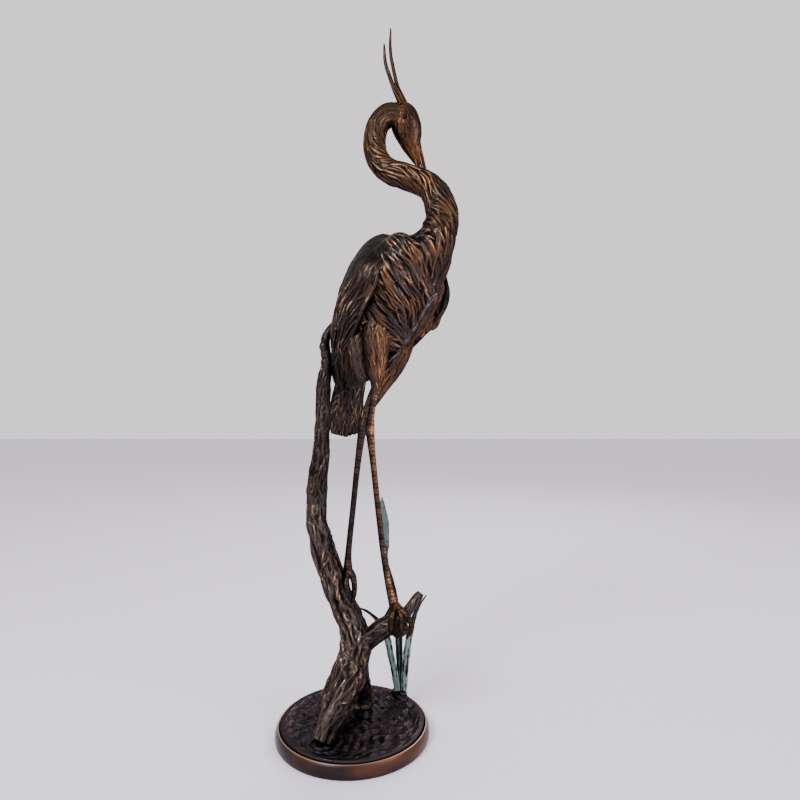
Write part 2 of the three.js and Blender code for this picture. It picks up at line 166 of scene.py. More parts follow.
NEAR_THIGH_BACK = [
    [0.04, 0.024, 0.85, 0.012],
    [0.017, -0.003, 0.805, 0.024],
    [0.014, -0.01, 0.76, 0.022],
    [0.02, -0.01, 0.725, 0.017],
    [0.028, -0.012, 0.704, 0.008],
]
NEAR_LEG = [
    [0.046, -0.028, 0.7, 0.0075],
    [0.042, -0.026, 0.665, 0.007],
    [0.038, -0.023, 0.64, 0.007],
    [0.035, -0.02, 0.612, 0.0095],
    [0.037, -0.02, 0.588, 0.008],
    [0.042, -0.02, 0.54, 0.0062],
    [0.051, -0.019, 0.455, 0.006],
    [0.061, -0.017, 0.37, 0.0062],
    [0.072, -0.014, 0.3, 0.0068],
    [0.08, -0.012, 0.268, 0.009],
    [0.084, -0.012, 0.25, 0.01],
]
FAR_THIGH = [
    [0.096, 0.026, 0.85, 0.026],
    [0.092, 0.042, 0.79, 0.031],
    [0.08, 0.047, 0.745, 0.026],
    [0.056, 0.049, 0.7, 0.018],
    [0.032, 0.048, 0.655, 0.011],
    [0.02, 0.047, 0.625, 0.008],
]
FAR_LEG = [
    [0.027, 0.048, 0.645, 0.0085],
    [0.018, 0.046, 0.613, 0.0105],
    [0.013, 0.046, 0.585, 0.008],
    [0.005, 0.043, 0.52, 0.0065],
    [-0.002, 0.038, 0.45, 0.0062],
    [-0.011, 0.032, 0.36, 0.0065],
    [-0.012, 0.027, 0.325, 0.009],
    [-0.008, 0.022, 0.308, 0.009],
]
TOES = [
    [
      [0.086, -0.014, 0.262, 0.008], [0.098, -0.03, 0.256, 0.006], [0.11, -0.04, 0.246, 0.006],
      [0.117, -0.042, 0.232, 0.0055], [0.115, -0.04, 0.218, 0.0045], [0.107, -0.039, 0.206, 0.002],
    ],
    [
      [0.084, -0.014, 0.262, 0.008], [0.08, -0.032, 0.252, 0.006], [0.077, -0.04, 0.24, 0.0055],
      [0.077, -0.04, 0.226, 0.0045], [0.075, -0.036, 0.212, 0.002],
    ],
    [
      [0.086, -0.012, 0.26, 0.008], [0.095, -0.034, 0.252, 0.006], [0.097, -0.042, 0.241, 0.005],
      [0.097, -0.043, 0.229, 0.004], [0.096, -0.042, 0.219, 0.002],
    ],
    [
      [0.084, -0.012, 0.262, 0.008], [0.076, -0.011, 0.247, 0.0075], [0.066, -0.01, 0.232, 0.006],
      [0.054, -0.009, 0.221, 0.003],
    ],
    [
      [-0.01, 0.024, 0.32, 0.008], [-0.005, 0.016, 0.314, 0.0065], [0.001, 0.01, 0.302, 0.006],
      [0.003, 0.004, 0.288, 0.0055], [0.002, 0.0, 0.275, 0.005], [-0.002, -0.004, 0.262, 0.002],
    ],
    [
      [-0.011, 0.022, 0.32, 0.008], [-0.013, 0.008, 0.308, 0.006], [-0.013, -0.002, 0.296, 0.0055],
      [-0.01, -0.008, 0.283, 0.005], [-0.008, -0.01, 0.272, 0.002],
    ],
    [
      [-0.01, 0.024, 0.32, 0.008], [-0.002, 0.028, 0.308, 0.006], [0.001, 0.03, 0.294, 0.0055],
      [0.001, 0.03, 0.28, 0.005], [-0.003, 0.03, 0.268, 0.002],
    ],
]
TRUNK = [
    [-0.052, -0.084, 0.03, 0.019],
    [-0.033, -0.057, 0.07, 0.025],
    [-0.014, -0.034, 0.106, 0.029],
    [0.001, -0.012, 0.143, 0.031],
    [0.004, 0.0, 0.176, 0.03],
    [-0.004, 0.008, 0.219, 0.026],
    [-0.021, 0.014, 0.254, 0.0245],
    [-0.037, 0.018, 0.289, 0.024],
    [-0.051, 0.022, 0.33, 0.0245],
    [-0.066, 0.026, 0.374, 0.022],
    [-0.076, 0.03, 0.421, 0.0205],
    [-0.077, 0.034, 0.471, 0.02],
    [-0.073, 0.038, 0.522, 0.018],
    [-0.068, 0.042, 0.584, 0.0155],
    [-0.066, 0.046, 0.646, 0.0155],
    [-0.065, 0.05, 0.698, 0.014],
    [-0.059, 0.054, 0.742, 0.0115],
    [-0.063, 0.057, 0.776, 0.0105],
    [-0.061, 0.06, 0.799, 0.0085],
    [-0.052, 0.066, 0.818, 0.0075],
    [-0.044, 0.074, 0.83, 0.006],
]
BRANCH = [
    [0.0, 0.002, 0.158, 0.02],
    [0.014, 0.0, 0.172, 0.02],
    [0.036, -0.004, 0.194, 0.0185],
    [0.06, -0.008, 0.213, 0.018],
    [0.08, -0.009, 0.227, 0.018],
    [0.096, -0.008, 0.233, 0.015],
]
RAISED_STUB = [
    [0.086, -0.011, 0.226, 0.012],
    [0.1, -0.008, 0.235, 0.011],
    [0.114, -0.005, 0.252, 0.01],
    [0.13, 0.0, 0.272, 0.0095],
    [0.136, 0.002, 0.28, 0.0065],
]
FRONT_STUB = [
    [0.086, -0.004, 0.224, 0.016],
    [0.09, -0.018, 0.222, 0.019],
    [0.092, -0.032, 0.221, 0.018],
]
RIGHT_ROOT = [
    [0.006, 0.006, 0.165, 0.02],
    [0.01, 0.024, 0.125, 0.02],
    [0.012, 0.046, 0.08, 0.02],
    [0.014, 0.06, 0.044, 0.022],
    [0.014, 0.062, 0.026, 0.025],
]
LEFT_ROOT = [
    [-0.004, 0.006, 0.165, 0.018],
    [-0.02, 0.022, 0.125, 0.018],
    [-0.035, 0.04, 0.085, 0.02],
    [-0.048, 0.056, 0.044, 0.023],
    [-0.05, 0.058, 0.026, 0.026],
]
CLUMP = [
    [0.092, 0.09, 0.022, 0.027, 0.012],
    [0.093, 0.091, 0.032, 0.022, 0.01],
    [0.094, 0.092, 0.041, 0.015, 0.008],
]
REEDS = {
    "reed_left": [
        [0.089, 0.09, 0.034, 0.0065, 0.002],
        [0.083, 0.087, 0.08, 0.0075, 0.002],
        [0.076, 0.082, 0.115, 0.008, 0.002],
        [0.068, 0.072, 0.158, 0.008, 0.002],
        [0.054, 0.064, 0.193, 0.0065, 0.0018],
        [0.035, 0.058, 0.216, 0.005, 0.0016],
        [0.016, 0.054, 0.229, 0.0035, 0.0014],
        [0.0, 0.052, 0.234, 0.0012, 0.001],
    ],
    "reed_right": [
        [0.103, 0.091, 0.034, 0.0065, 0.002],
        [0.105, 0.091, 0.08, 0.0075, 0.002],
        [0.108, 0.09, 0.115, 0.008, 0.002],
        [0.113, 0.087, 0.15, 0.008, 0.002],
        [0.121, 0.082, 0.19, 0.0065, 0.0018],
        [0.132, 0.076, 0.223, 0.004, 0.0016],
        [0.151, 0.07, 0.254, 0.0012, 0.001],
    ],
    "reed_tall": [
        [0.094, 0.099, 0.034, 0.0055, 0.002],
        [0.094, 0.1, 0.075, 0.007, 0.002],
        [0.093, 0.097, 0.12, 0.008, 0.002],
        [0.091, 0.081, 0.172, 0.0085, 0.002],
        [0.086, 0.056, 0.232, 0.008, 0.002],
        [0.078, 0.043, 0.284, 0.0065, 0.002],
        [0.066, 0.034, 0.335, 0.005, 0.002],
        [0.063, 0.028, 0.376, 0.0095, 0.002],
        [0.062, 0.022, 0.418, 0.01, 0.0018],
        [0.059, 0.015, 0.455, 0.0055, 0.0015],
        [0.058, 0.011, 0.471, 0.0012, 0.001],
    ],
}


# Shapes on grids


# How many sine waves make an unevenness, and their lengths as shares of the length asked for
WAVES = 14
WAVE_LENGTHS = (0.6, 1.6)


def through(rows, t):
    """Smooth values through rows at share t of the way: between two rows a cubic, whose slope at
    each row is half the difference between the rows before and after it."""
    rows = np.asarray(rows, float)
    place = np.clip(t, 0, 1) * (len(rows) - 1)
    i = np.minimum(place.astype(int), len(rows) - 2)
    f = (place - i).reshape(place.shape + (1,) * (rows.ndim - 1))
    a, b, c, d = (rows[np.clip(i + k, 0, len(rows) - 1)] for k in (-1, 0, 1, 2))
    return b + 0.5 * f * (c - a + f * (2 * a - 5 * b + 4 * c - d + f * (3 * (b - c) + d - a)))


def smoothstep(x, low, high):
    """0 below low, 1 above high, and 3s^2 - 2s^3 of the share s between."""
    share = np.clip((x - low) / (high - low), 0, 1)
    return share * share * (3 - 2 * share)


def bell(x, reach):
    """A bell curve: 1 at 0, and e to the power of minus the square of x over reach."""
    return np.exp(-(x / reach) ** 2)


def raised_cosine(angle):
    """A wave between 0 and 1: a half plus half the angle's cosine."""
    return 0.5 + 0.5 * np.cos(angle)


def evenly(count):
    """So many even shares from 0 to 1."""
    return np.linspace(0, 1, count)


def angles(sides):
    """Even angles once round a ring."""
    return np.linspace(0, 2 * np.pi, sides, endpoint=False)


def joined(*parts):
    """Three arrays of coordinates as one array of points."""
    return np.stack(np.broadcast_arrays(*parts), axis=-1)


def turned(radius, angle):
    """Rings of these radii round an axis: the radius times the angle's cosine, and times its sine."""
    return np.multiply.outer(radius, np.cos(angle)), np.multiply.outer(radius, np.sin(angle))


def unit(vectors):
    """Each vector divided by its length."""
    return vectors / np.maximum(np.linalg.norm(vectors, axis=-1, keepdims=True), 1e-12)


def unevenness(points, length, seed):
    """Soft bumps between about -1 and 1: the sum of sine waves in seeded directions, each about
    `length` long."""
    rng = np.random.default_rng(seed)
    directions = unit(rng.normal(size=(WAVES, 3)))
    lengths = length * rng.uniform(*WAVE_LENGTHS, WAVES)
    turns = points @ (directions / lengths[:, None]).T + rng.uniform(0, 1, WAVES)
    return np.sin(2 * np.pi * turns).sum(-1) / np.sqrt(2 * WAVES)


def body_point(along, left, back):
    """The body's centre plus these lengths of its own three directions."""
    return BODY_CENTRE + np.multiply.outer(along, ALONG) + np.multiply.outer(left, LEFT) + (
        np.multiply.outer(back, BACK))


def rings(rows, shares, sides, side=LIMB_SIDE, twist=0.0):
    """Rings of points round a path: the centre, plus the wide direction times half width times the
    cosine of the angle, plus the deep direction times half depth times its sine. The wide
    direction is `side` made square to the path."""
    stations = through(rows, shares)
    step = 1e-3
    tangent = unit(through(rows, shares + step)[:, :3] - through(rows, shares - step)[:, :3])
    side = np.broadcast_to(side, tangent.shape)
    wide = unit(side - (side * tangent).sum(-1, keepdims=True) * tangent)
    deep = np.cross(tangent, wide)
    angle = angles(sides) + np.reshape(twist, (-1, 1))
    half_width = stations[:, 3, None] * np.cos(angle)
    half_depth = stations[:, -1, None] * np.sin(angle)
    return (stations[:, None, :3] + wide[:, None] * half_width[..., None]
            + deep[:, None] * half_depth[..., None])


def evened(points, reach):
    """Each point averaged with those before and after it along the path, by a bell curve this many
    rows wide."""
    row = np.arange(len(points))
    weight = np.exp(-0.5 * ((row[:, None] - row[None, :]) / reach) ** 2)
    return np.tensordot(weight / weight.sum(1, keepdims=True), points, axes=1)


# Locks and feathers laid on a skin


# Steps down and over the grid from one place to the next, as shares of its size: 1 / p and 1 / p^2,
# where p^3 = p + 1, which spreads the places evenly however many they are
STEP_DOWN = 0.7548776662
STEP_OVER = 0.5698402910
# How far a place strays, as a share of the way to the next
STRAY = 0.3
# How much longer, wider and higher single locks are than asked for
LENGTH_RANGE = (0.75, 1.25)
WIDTH_RANGE = (0.8, 1.2)
LIFT_RANGE = (0.7, 1.2)
# The sharpest that a lock bends from root to tip, and how far apart the hairs of two locks are drawn
MOST_BEND = 1.1
HAIR_SHIFT = 0.1
# The smallest grid steps, as shares of the mean ones, that a lock is fitted to
SMALLEST_STEPS = (0.6, 0.3)
# Steps between rings, as shares of their mean, at which the relief is gone and whole, and its ridge
# where it is gone
CROWDED = (0.3, 0.65)
CALM_RIDGE = 0.4


class Form:
    """How a lock narrows and rises from root to tip, and how full it is across."""

    def __init__(self, outline, rise, fullness):
        self.outline = outline
        self.rise = rise
        self.fullness = fullness


# A lock is widest two fifths of the way along and runs out to a point. A feather widens quickly, ends
# round, and rises towards its tip.
LOCK = Form(lambda s: 2.32 * np.sqrt(s) * (1 - s) ** 0.75, lambda s: 0.4 + 0.6 * np.sin(1.9 * s), 1.0)
FEATHER = Form(lambda s: np.minimum(1, (s / 0.2) ** 0.5) * (1 - s ** 3) ** 0.6,
               lambda s: 0.3 + 1.1 * s - 0.5 * s ** 4, 0.5)


class Skin:
    """A surface on a grid with its relief. Each point has a height along the surface's normal, a
    ridge from 0 in a hollow to 1 on a crest, a tone of its own for each lock, a flow: how far it
    lies along and across its lock, and a margin: 0 in its lock's middle and 1 at its edge."""

    def __init__(self, points, closed=True, facing=1.0):
        self.points = points
        self.closed = closed
        self.facing = facing
        self.shape = points.shape[:2]
        self.down = np.gradient(points, axis=0)
        if closed:
            self.over = (np.roll(points, -1, axis=1) - np.roll(points, 1, axis=1)) / 2
        else:
            self.over = np.gradient(points, axis=1)
        self.normal = unit(np.cross(self.over, self.down)) * facing
        self.down_size = np.linalg.norm(self.down, axis=-1)
        self.over_size = np.linalg.norm(self.over, axis=-1)
        self.height = np.zeros(self.shape)
        self.ridge = np.zeros(self.shape)
        self.tone = np.full(self.shape, 0.5)
        self.flow = points.copy()
        self.margin = np.zeros(self.shape)

    def cover(self, form, direction, length, width, lift, times, seed, wander=0.07, wave=0.12):
        """Covers the surface this many times with locks or feathers. The places are drawn with this
        seed, and the locks with the next."""
        places = self.scattered(length, width, times, seed)
        self.lay(places, form, direction, length, width, lift, seed + 1, wander, wave)

    def scattered(self, length, width, times, seed):
        """Places spread evenly over the surface and a lock's length past its ends, enough for locks
        of this size to cover it so many times: an even sequence on the grid, thinned where the grid
        is finer."""
        area = self.down_size * self.over_size / (np.zeros(self.shape) + length * width)
        reach = np.max(length) / self.down_size.mean()
        rows = self.shape[0] + 2 * reach
        tries = int(times * area.max() * rows * self.shape[1])
        k = np.arange(tries)
        i = (0.5 + k * STEP_DOWN) % 1 * rows - reach
        j = (0.5 + k * STEP_OVER) % 1 * self.shape[1]
        nearest = np.clip(i.astype(int), 0, self.shape[0] - 1)
        chance = area[nearest, j.astype(int)] / area.max()
        rng = np.random.default_rng(seed)
        kept = rng.uniform(size=tries) < chance
        astray = STRAY * np.sqrt(np.mean(length) * np.mean(width) / times)
        i += rng.normal(0, astray / self.down_size.mean(), tries)
        j += rng.normal(0, astray, tries) / self.over_size[nearest, 0]
        return np.stack([i[kept], j[kept]], axis=-1)

    def grid_point(self, i, j):
        """The grid point at this place: rows stop at the ends, and columns go round."""
        return min(max(int(i), 0), self.shape[0] - 1), int(j) % self.shape[1]

    def window(self, ends, pad, place, steps):
        """The rows and columns within pad of the box round two ends, given in metres from the
        place. On a closed skin the columns run on past the seam."""
        low = np.floor((ends.min(0) - pad) / steps + place).astype(int)
        high = np.ceil((ends.max(0) + pad) / steps + place).astype(int) + 1
        rows = np.arange(max(low[0], 0), min(high[0], self.shape[0]))
        if self.closed:
            return rows, np.arange(low[1], min(high[1], low[1] + self.shape[1]))
        return rows, np.arange(max(low[1], 0), min(high[1], self.shape[1]))

    def lay(self, places, form, direction, length, width, lift, seed, wander, wave):
        """Lays a lock or feather at each place, over those that are lower. It starts in the
        direction given there and bends to the direction at its tip. Along its length s from root
        to tip and across it c from edge to edge, its height is lift times form.rise(s) times
        1 - c^2 to the power of its fullness, inside form.outline(s). It also sways once to each
        side by up to a quarter of wave."""
        rng = np.random.default_rng(seed)
        length, width, lift = (np.broadcast_to(value, self.shape) for value in (length, width, lift))
        heading = np.arctan2((direction * self.over).sum(-1) / np.maximum(self.over_size, 1e-9),
                             (direction * self.down).sum(-1) / np.maximum(self.down_size, 1e-9))
        finest_down = SMALLEST_STEPS[0] * self.down_size.mean()
        finest_over = SMALLEST_STEPS[1] * self.over_size.mean()
        for i, j in places:
            here = self.grid_point(i, j)
            steps = (max(self.down_size[here], finest_down), max(self.over_size[here], finest_over))
            turn = heading[here] + rng.normal(0, wander)
            long = length[here] * rng.uniform(*LENGTH_RANGE)
            half = width[here] / 2 * rng.uniform(*WIDTH_RANGE)
            raised = lift[here] * rng.uniform(*LIFT_RANGE)
            tone = rng.uniform()
            end = np.array([long * np.cos(turn), long * np.sin(turn)])
            tip = self.grid_point(i + end[0] / steps[0], j + end[1] / steps[1])
            curve = np.angle(np.exp(1j * (heading[tip] - heading[here])))
            curve = np.clip(curve, -MOST_BEND, MOST_BEND) + rng.normal(0, wave)
            sway = rng.normal(0, wave / 4)
            pad = half + long * (abs(curve) / 2 + abs(sway))
            rows, columns = self.window(np.array([[0, 0], end]), pad, (i, j), steps)
            if not rows.size or not columns.size:
                continue
            x = ((rows - i) * steps[0])[:, None]
            y = ((columns - j) * steps[1])[None, :]
            along = x * np.cos(turn) + y * np.sin(turn)
            s = np.clip(along / long, 0, 1)
            bend = curve * s * s / 2 + sway * np.sin(2 * np.pi * s)
            across = y * np.cos(turn) - x * np.sin(turn) - long * bend
            c = across / (half * form.outline(s) + 1e-6)
            height = raised * form.rise(s) * np.clip(1 - c * c, 0, 1) ** form.fullness
            window = np.ix_(rows, columns % self.shape[1])
            higher = (height > self.height[window]) & (along > 0) & (along < long)
            flow = joined(along, across, HAIR_SHIFT * tone)
            self.height[window] = np.where(higher, height, self.height[window])
            self.tone[window] = np.where(higher, tone, self.tone[window])
            self.margin[window] = np.where(higher, np.abs(c), self.margin[window])
            self.flow[window] = np.where(higher[..., None], flow, self.flow[window])

    def find_ridges(self, size, contrast=0.25):
        """The ridge of each point: how far its height stands above the mean height round it, a
        bell curve of this size, against how much that varies over the whole skin."""
        reach = (size / self.down_size.mean(), size / self.over_size.mean())
        pad = int(3 * reach[0])
        wide = 0 if self.closed else int(3 * reach[1])
        padded = np.pad(self.height, ((pad, pad), (wide, wide)), "edge")
        across_waves = np.fft.rfftfreq(padded.shape[1])[None, :] * reach[1]
        down_waves = np.fft.fftfreq(padded.shape[0])[:, None] * reach[0]
        blur = np.exp(-2 * np.pi ** 2 * (down_waves ** 2 + across_waves ** 2))
        mean = np.fft.irfft2(np.fft.rfft2(padded) * blur, padded.shape)
        above = self.height - mean[pad:pad + self.shape[0], wide:wide + self.shape[1]]
        self.ridge = np.clip(0.5 + contrast * above / above.std(), 0, 1)

    def dull(self, where, by):
        """Lowers the ridge by this much where `where` is 1, so that the metal is darker there."""
        self.ridge = self.ridge - by * where

    def calm(self):
        """Fades the relief where the rings crowd together on the inside of a bend, by a smoothstep
        of the step between rings."""
        kept = smoothstep(self.down_size / self.down_size.mean(), *CROWDED)
        self.height *= kept
        self.ridge = CALM_RIDGE + (self.ridge - CALM_RIDGE) * kept

    def comb(self):
        """Makes the fine hairs run along the path: the flow is the way walked along it and the
        place in the ring."""
        middles = self.points.mean(1)
        walked = np.concatenate([[0], np.cumsum(np.linalg.norm(np.diff(middles, axis=0), axis=-1))])
        angle = angles(self.shape[1])
        radius = self.over_size * self.shape[1] / (2 * np.pi)
        self.flow = joined(walked[:, None], radius * np.cos(angle), radius * np.sin(angle))
        return walked

    def tuck(self, rows, depth):
        """Lowers the first and last rows, the more the nearer the end: depth times 1 - smoothstep."""
        if rows[0]:
            self.height[:rows[0]] -= depth * (1 - smoothstep(np.arange(rows[0]), 0, rows[0]))[:, None]
        if rows[1]:
            self.height[-rows[1]:] -= depth * smoothstep(np.arange(rows[1]), 0, rows[1])[:, None]

    def raised(self):
        """The points moved along their normals by the height."""
        return self.points + self.normal * self.height[..., None]


# Meshes


def make_piece(name, points, fields, closed_by, finish, nodes):
    """A closed piece from rings of points: each grid square is a face between two rings, and the
    first and last rings close on a pole at `closed_by` or at their middle."""
    count, sides = points.shape[:2]
    poles = [points[0].mean(0), points[-1].mean(0)] if closed_by is None else closed_by
    vertices = np.concatenate([points.reshape(-1, 3), poles])
    k = np.arange(sides)
    after = (k + 1) % sides
    ring = np.arange(count - 1)[:, None] * sides
    quads = np.stack([ring + k, ring + after, ring + after + sides, ring + k + sides], axis=-1)
    last = (count - 1) * sides
    first_fan = np.stack([np.full(sides, count * sides), after, k], axis=-1)
    last_fan = np.stack([np.full(sides, count * sides + 1), last + k, last + after], axis=-1)
    corners = np.concatenate([quads.ravel(), first_fan.ravel(), last_fan.ravel()])
    sizes = np.repeat([4, 3], [(count - 1) * sides, 2 * sides])
    mesh = bpy.data.meshes.new(name)
    mesh.vertices.add(len(vertices))
    mesh.vertices.foreach_set("co", vertices.astype(np.float32).ravel())
    mesh.loops.add(len(corners))
    mesh.loops.foreach_set("vertex_index", corners.astype(np.int32))
    mesh.polygons.add(len(sizes))
    mesh.polygons.foreach_set("loop_start", (np.cumsum(sizes) - sizes).astype(np.int32))
    mesh.update(calc_edges=True)
    mesh.shade_smooth()
    for field, values in fields.items():
        values = values.reshape(count * sides, -1)
        values = np.concatenate([values, values[:1], values[-1:]])
        kind, key = ("FLOAT", "value") if values.shape[1] == 1 else ("FLOAT_VECTOR", "vector")
        attribute = mesh.attributes.new(field, kind, "POINT")
        attribute.data.foreach_set(key, values.astype(np.float32).ravel())
    piece = bpy.data.objects.new(name, mesh)
    bpy.context.collection.objects.link(piece)
    mesh.materials.append(finish)
    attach(piece, "root")
    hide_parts(*nodes)


def skin_piece(name, skin, finish, nodes, closed_by=None):
    """A closed piece from a ring-shaped skin with its relief."""
    fields = {"ridge": skin.ridge, "tone": skin.tone, "flow": skin.flow}
    points = skin.raised()
    if skin.facing < 0:
        points = points[:, ::-1]
        fields = {field: values[:, ::-1] for field, values in fields.items()}
    make_piece(name, points, fields, closed_by, finish, nodes)


def crane_piece(name, skin, finish):
    """A piece of the crane's casting."""
    skin_piece(name, skin, finish, ["crane"])


# Finishes


class Value:
    """A number that varies over a surface. Sums, differences and products of values add Math nodes."""

    def __init__(self, finish, socket):
        self.finish = finish
        self.socket = socket

    def __add__(self, other):
        return self.finish.maths("ADD", self, other)

    def __sub__(self, other):
        return self.finish.maths("SUBTRACT", self, other)

    def __rsub__(self, other):
        return self.finish.maths("SUBTRACT", other, self)

    def __mul__(self, other):
        return self.finish.maths("MULTIPLY", self, other)

    __radd__ = __add__
    __rmul__ = __mul__


def opaque(colour):
    """A plain colour's three numbers with an alpha of 1, or a Value as it is."""
    return colour if isinstance(colour, Value) else (*colour, 1)


class Finish:
    """A material, and the nodes that make it."""

    def __init__(self, name):
        self.material = bpy.data.materials.new(name)
        self.material.use_nodes = True
        self.tree = self.material.node_tree
        self.shader = self.tree.nodes["Principled BSDF"]

    def join(self, socket, value):
        """Links a value to a socket, or sets a plain number or colour on it."""
        if isinstance(value, Value):
            self.tree.links.new(value.socket, socket)
        else:
            socket.default_value = value

    def node(self, kind, settings, sockets, output=0):
        """Adds a node of this type, with its settings first and then its sockets' values."""
        node = self.tree.nodes.new(kind)
        for key, value in settings.items():
            setattr(node, key, value)
        for key, value in sockets.items():
            self.join(node.inputs[key], value)
        return Value(self, node.outputs[output])

    def maths(self, operation, first, second):
        """One sum, difference or product."""
        return self.node("ShaderNodeMath", {"operation": operation}, {0: first, 1: second})

    def field(self, name, output=2):
        """A field of the mesh; output 2 is its number and output 1 its vector."""
        return self.node("ShaderNodeAttribute", {"attribute_name": name}, {}, output)

    def place(self):
        """Where the point is on the object, which is the node's output 3."""
        return self.node("ShaderNodeTexCoord", {}, {}, 3)

    def noise(self, vector, scale, detail=3.0, rough=0.5):
        """Soft noise between 0 and 1, `scale` times a metre."""
        sockets = {"Vector": vector, "Scale": scale, "Detail": detail, "Roughness": rough}
        return self.node("ShaderNodeTexNoise", {}, sockets)

    def stretched(self, vector, sizes):
        """The vector times sizes, for a pattern that is longer one way."""
        return self.node("ShaderNodeVectorMath", {"operation": "MULTIPLY"}, {0: vector, 1: sizes})

    def between(self, value, low, high):
        """0 below low, 1 above high, smooth between."""
        return self.node("ShaderNodeMapRange", {"interpolation_type": "SMOOTHSTEP"},
                         {"Value": value, "From Min": low, "From Max": high})

    def blend(self, share, first, second):
        """The first colour turning into the second as share goes from 0 to 1. Sockets 6 and 7 are
        the node's colours, and output 2 is the colour between them."""
        sockets = {0: share, 6: opaque(first), 7: opaque(second)}
        return self.node("ShaderNodeMix", {"data_type": "RGBA"}, sockets, 2)

    def bump(self, height, distance, strength, normal=None):
        """A normal tipped by a height."""
        sockets = {"Height": height, "Distance": distance, "Strength": strength}
        if normal is not None:
            sockets["Normal"] = normal
        return self.node("ShaderNodeBump", {}, sockets)

    def shade(self, **sockets):
        """Sets the shader's own sockets, named in lower case with _ for a space."""
        for key, value in sockets.items():
            self.join(self.shader.inputs[key.replace("_", " ").title()], value)
        return self.material


# How much of the light that strikes old bronze at a glancing angle comes back
EDGE_TINT = (0.36, 0.30, 0.27)
BLACK = (0.002, 0.0015, 0.0015)
# How much the clouds, the tone of a lock, the specks and the hairs change where the metal is worn
WEAR_SHARES = (0.8, 0.3, 0.25, 0.9)
# Grains of the cast skin: how many to a metre, and how high they are
SPECK_SCALE = 210.0
CAST_GRAIN = 0.0002


def patinated(name, hollow, body, patch, rubbed, rub=0.86, hairs=(45.0, 520.0), hair_depth=0.0010,
              gloss=0.23):
    """Waxed bronze: dark in its hollows, the body colour in clouds with the patch colour on its slopes, and
    rubbed to bare metal on its ridges, where rub is the ridge height that begins to shine. The ridge
    field also carries the painted shade and painted highlights that some pieces add to it. Fine hairs,
    so many to a metre along and across, run along each lock."""
    finish = Finish(name)
    place = finish.place()
    wear_and_light = finish.field("ridge")
    tone = finish.field("tone")
    flow = finish.field("flow", 1)
    cloud = finish.noise(place, scale=21.0)
    other = finish.noise(finish.stretched(place, (17.0, 17.0, 11.0)), scale=1.0)
    speck = finish.noise(place, SPECK_SCALE, rough=0.6)
    hair = finish.noise(finish.stretched(flow, (hairs[0], hairs[1], hairs[1])), scale=1.0, detail=2.0)
    for pattern, share in zip((cloud, tone, speck, hair), WEAR_SHARES):
        wear_and_light = wear_and_light + (pattern - 0.5) * share
    slope = finish.between(wear_and_light, 0.15, 0.75)
    crest = finish.between(wear_and_light, rub, rub + 0.3)
    colour = finish.blend(finish.between(other, 0.42, 0.62), body, patch)
    colour = finish.blend(slope, hollow, colour)
    colour = finish.blend(crest, colour, rubbed)
    normal = finish.bump(hair, hair_depth, strength=0.6)
    normal = finish.bump(speck, CAST_GRAIN, strength=0.3, normal=normal)
    return finish.shade(base_color=colour, metallic=0.95, specular_tint=opaque(EDGE_TINT), normal=normal,
                        coat_weight=0.12, coat_roughness=0.3,
                        roughness=gloss + 0.10 * (1 - crest) + 0.24 * (other - 0.5))


FEATHER_BRONZE = patinated("feather_bronze", hollow=BLACK, body=(0.058, 0.043, 0.038),
                           patch=(0.120, 0.058, 0.030), rubbed=(0.56, 0.24, 0.085), rub=0.80,
                           hairs=(40.0, 340.0))
WING_BRONZE = patinated("wing_bronze", hollow=BLACK, body=(0.040, 0.031, 0.029),
                        patch=(0.070, 0.040, 0.027), rubbed=(0.40, 0.25, 0.17), rub=0.80,
                        hairs=(40.0, 400.0))
THIGH_BRONZE = patinated("thigh_bronze", hollow=BLACK, body=(0.055, 0.034, 0.026),
                         patch=(0.13, 0.060, 0.028), rubbed=(0.50, 0.22, 0.08), rub=0.80)
SMOOTH_BRONZE = patinated("smooth_bronze", hollow=(0.010, 0.007, 0.006), body=(0.050, 0.034, 0.031),
                          patch=(0.100, 0.050, 0.030), rubbed=(0.30, 0.15, 0.08), hair_depth=0.0007)
# Painted reflection: the belly band's pale grey sheen is painted into its colours.
BAND_BRONZE = patinated("band_bronze", hollow=(0.016, 0.014, 0.016), body=(0.150, 0.138, 0.150),
                        patch=(0.085, 0.070, 0.068), rubbed=(0.34, 0.29, 0.28), rub=0.84,
                        hair_depth=0.0007)
NECK_BRONZE = patinated("neck_bronze", hollow=(0.004, 0.0025, 0.002), body=(0.050, 0.029, 0.018),
                        patch=(0.090, 0.042, 0.019), rubbed=(0.27, 0.125, 0.042),
                        hairs=(40.0, 420.0), hair_depth=0.0005, gloss=0.30)
HEAD_BRONZE = patinated("head_bronze", hollow=(0.008, 0.005, 0.003), body=(0.072, 0.035, 0.019),
                        patch=(0.130, 0.054, 0.021), rubbed=(0.42, 0.18, 0.06), hair_depth=0.0004,
                        gloss=0.31)
# A darker copy of the bronze: painted shade for the far wing and the far toes. The tail and the long plumes
# over it are also made with it.
DARK_BRONZE = patinated("dark_bronze", hollow=BLACK, body=(0.026, 0.021, 0.020),
                        patch=(0.046, 0.030, 0.022), rubbed=(0.24, 0.13, 0.075), rub=0.78,
                        hair_depth=0.0008)
BARK_BRONZE = patinated("bark_bronze", hollow=(0.005, 0.0035, 0.003), body=(0.052, 0.036, 0.028),
                        patch=(0.074, 0.056, 0.049), rubbed=(0.38, 0.22, 0.13),
                        hairs=(60.0, 380.0), hair_depth=0.0018, gloss=0.22)
POOL_BRONZE = patinated("pool_bronze", hollow=(0.010, 0.008, 0.012), body=(0.024, 0.019, 0.026),
                        patch=(0.032, 0.023, 0.026), rubbed=(0.24, 0.15, 0.09), rub=1.0,
                        hairs=(50.0, 260.0), hair_depth=0.0004, gloss=0.20)


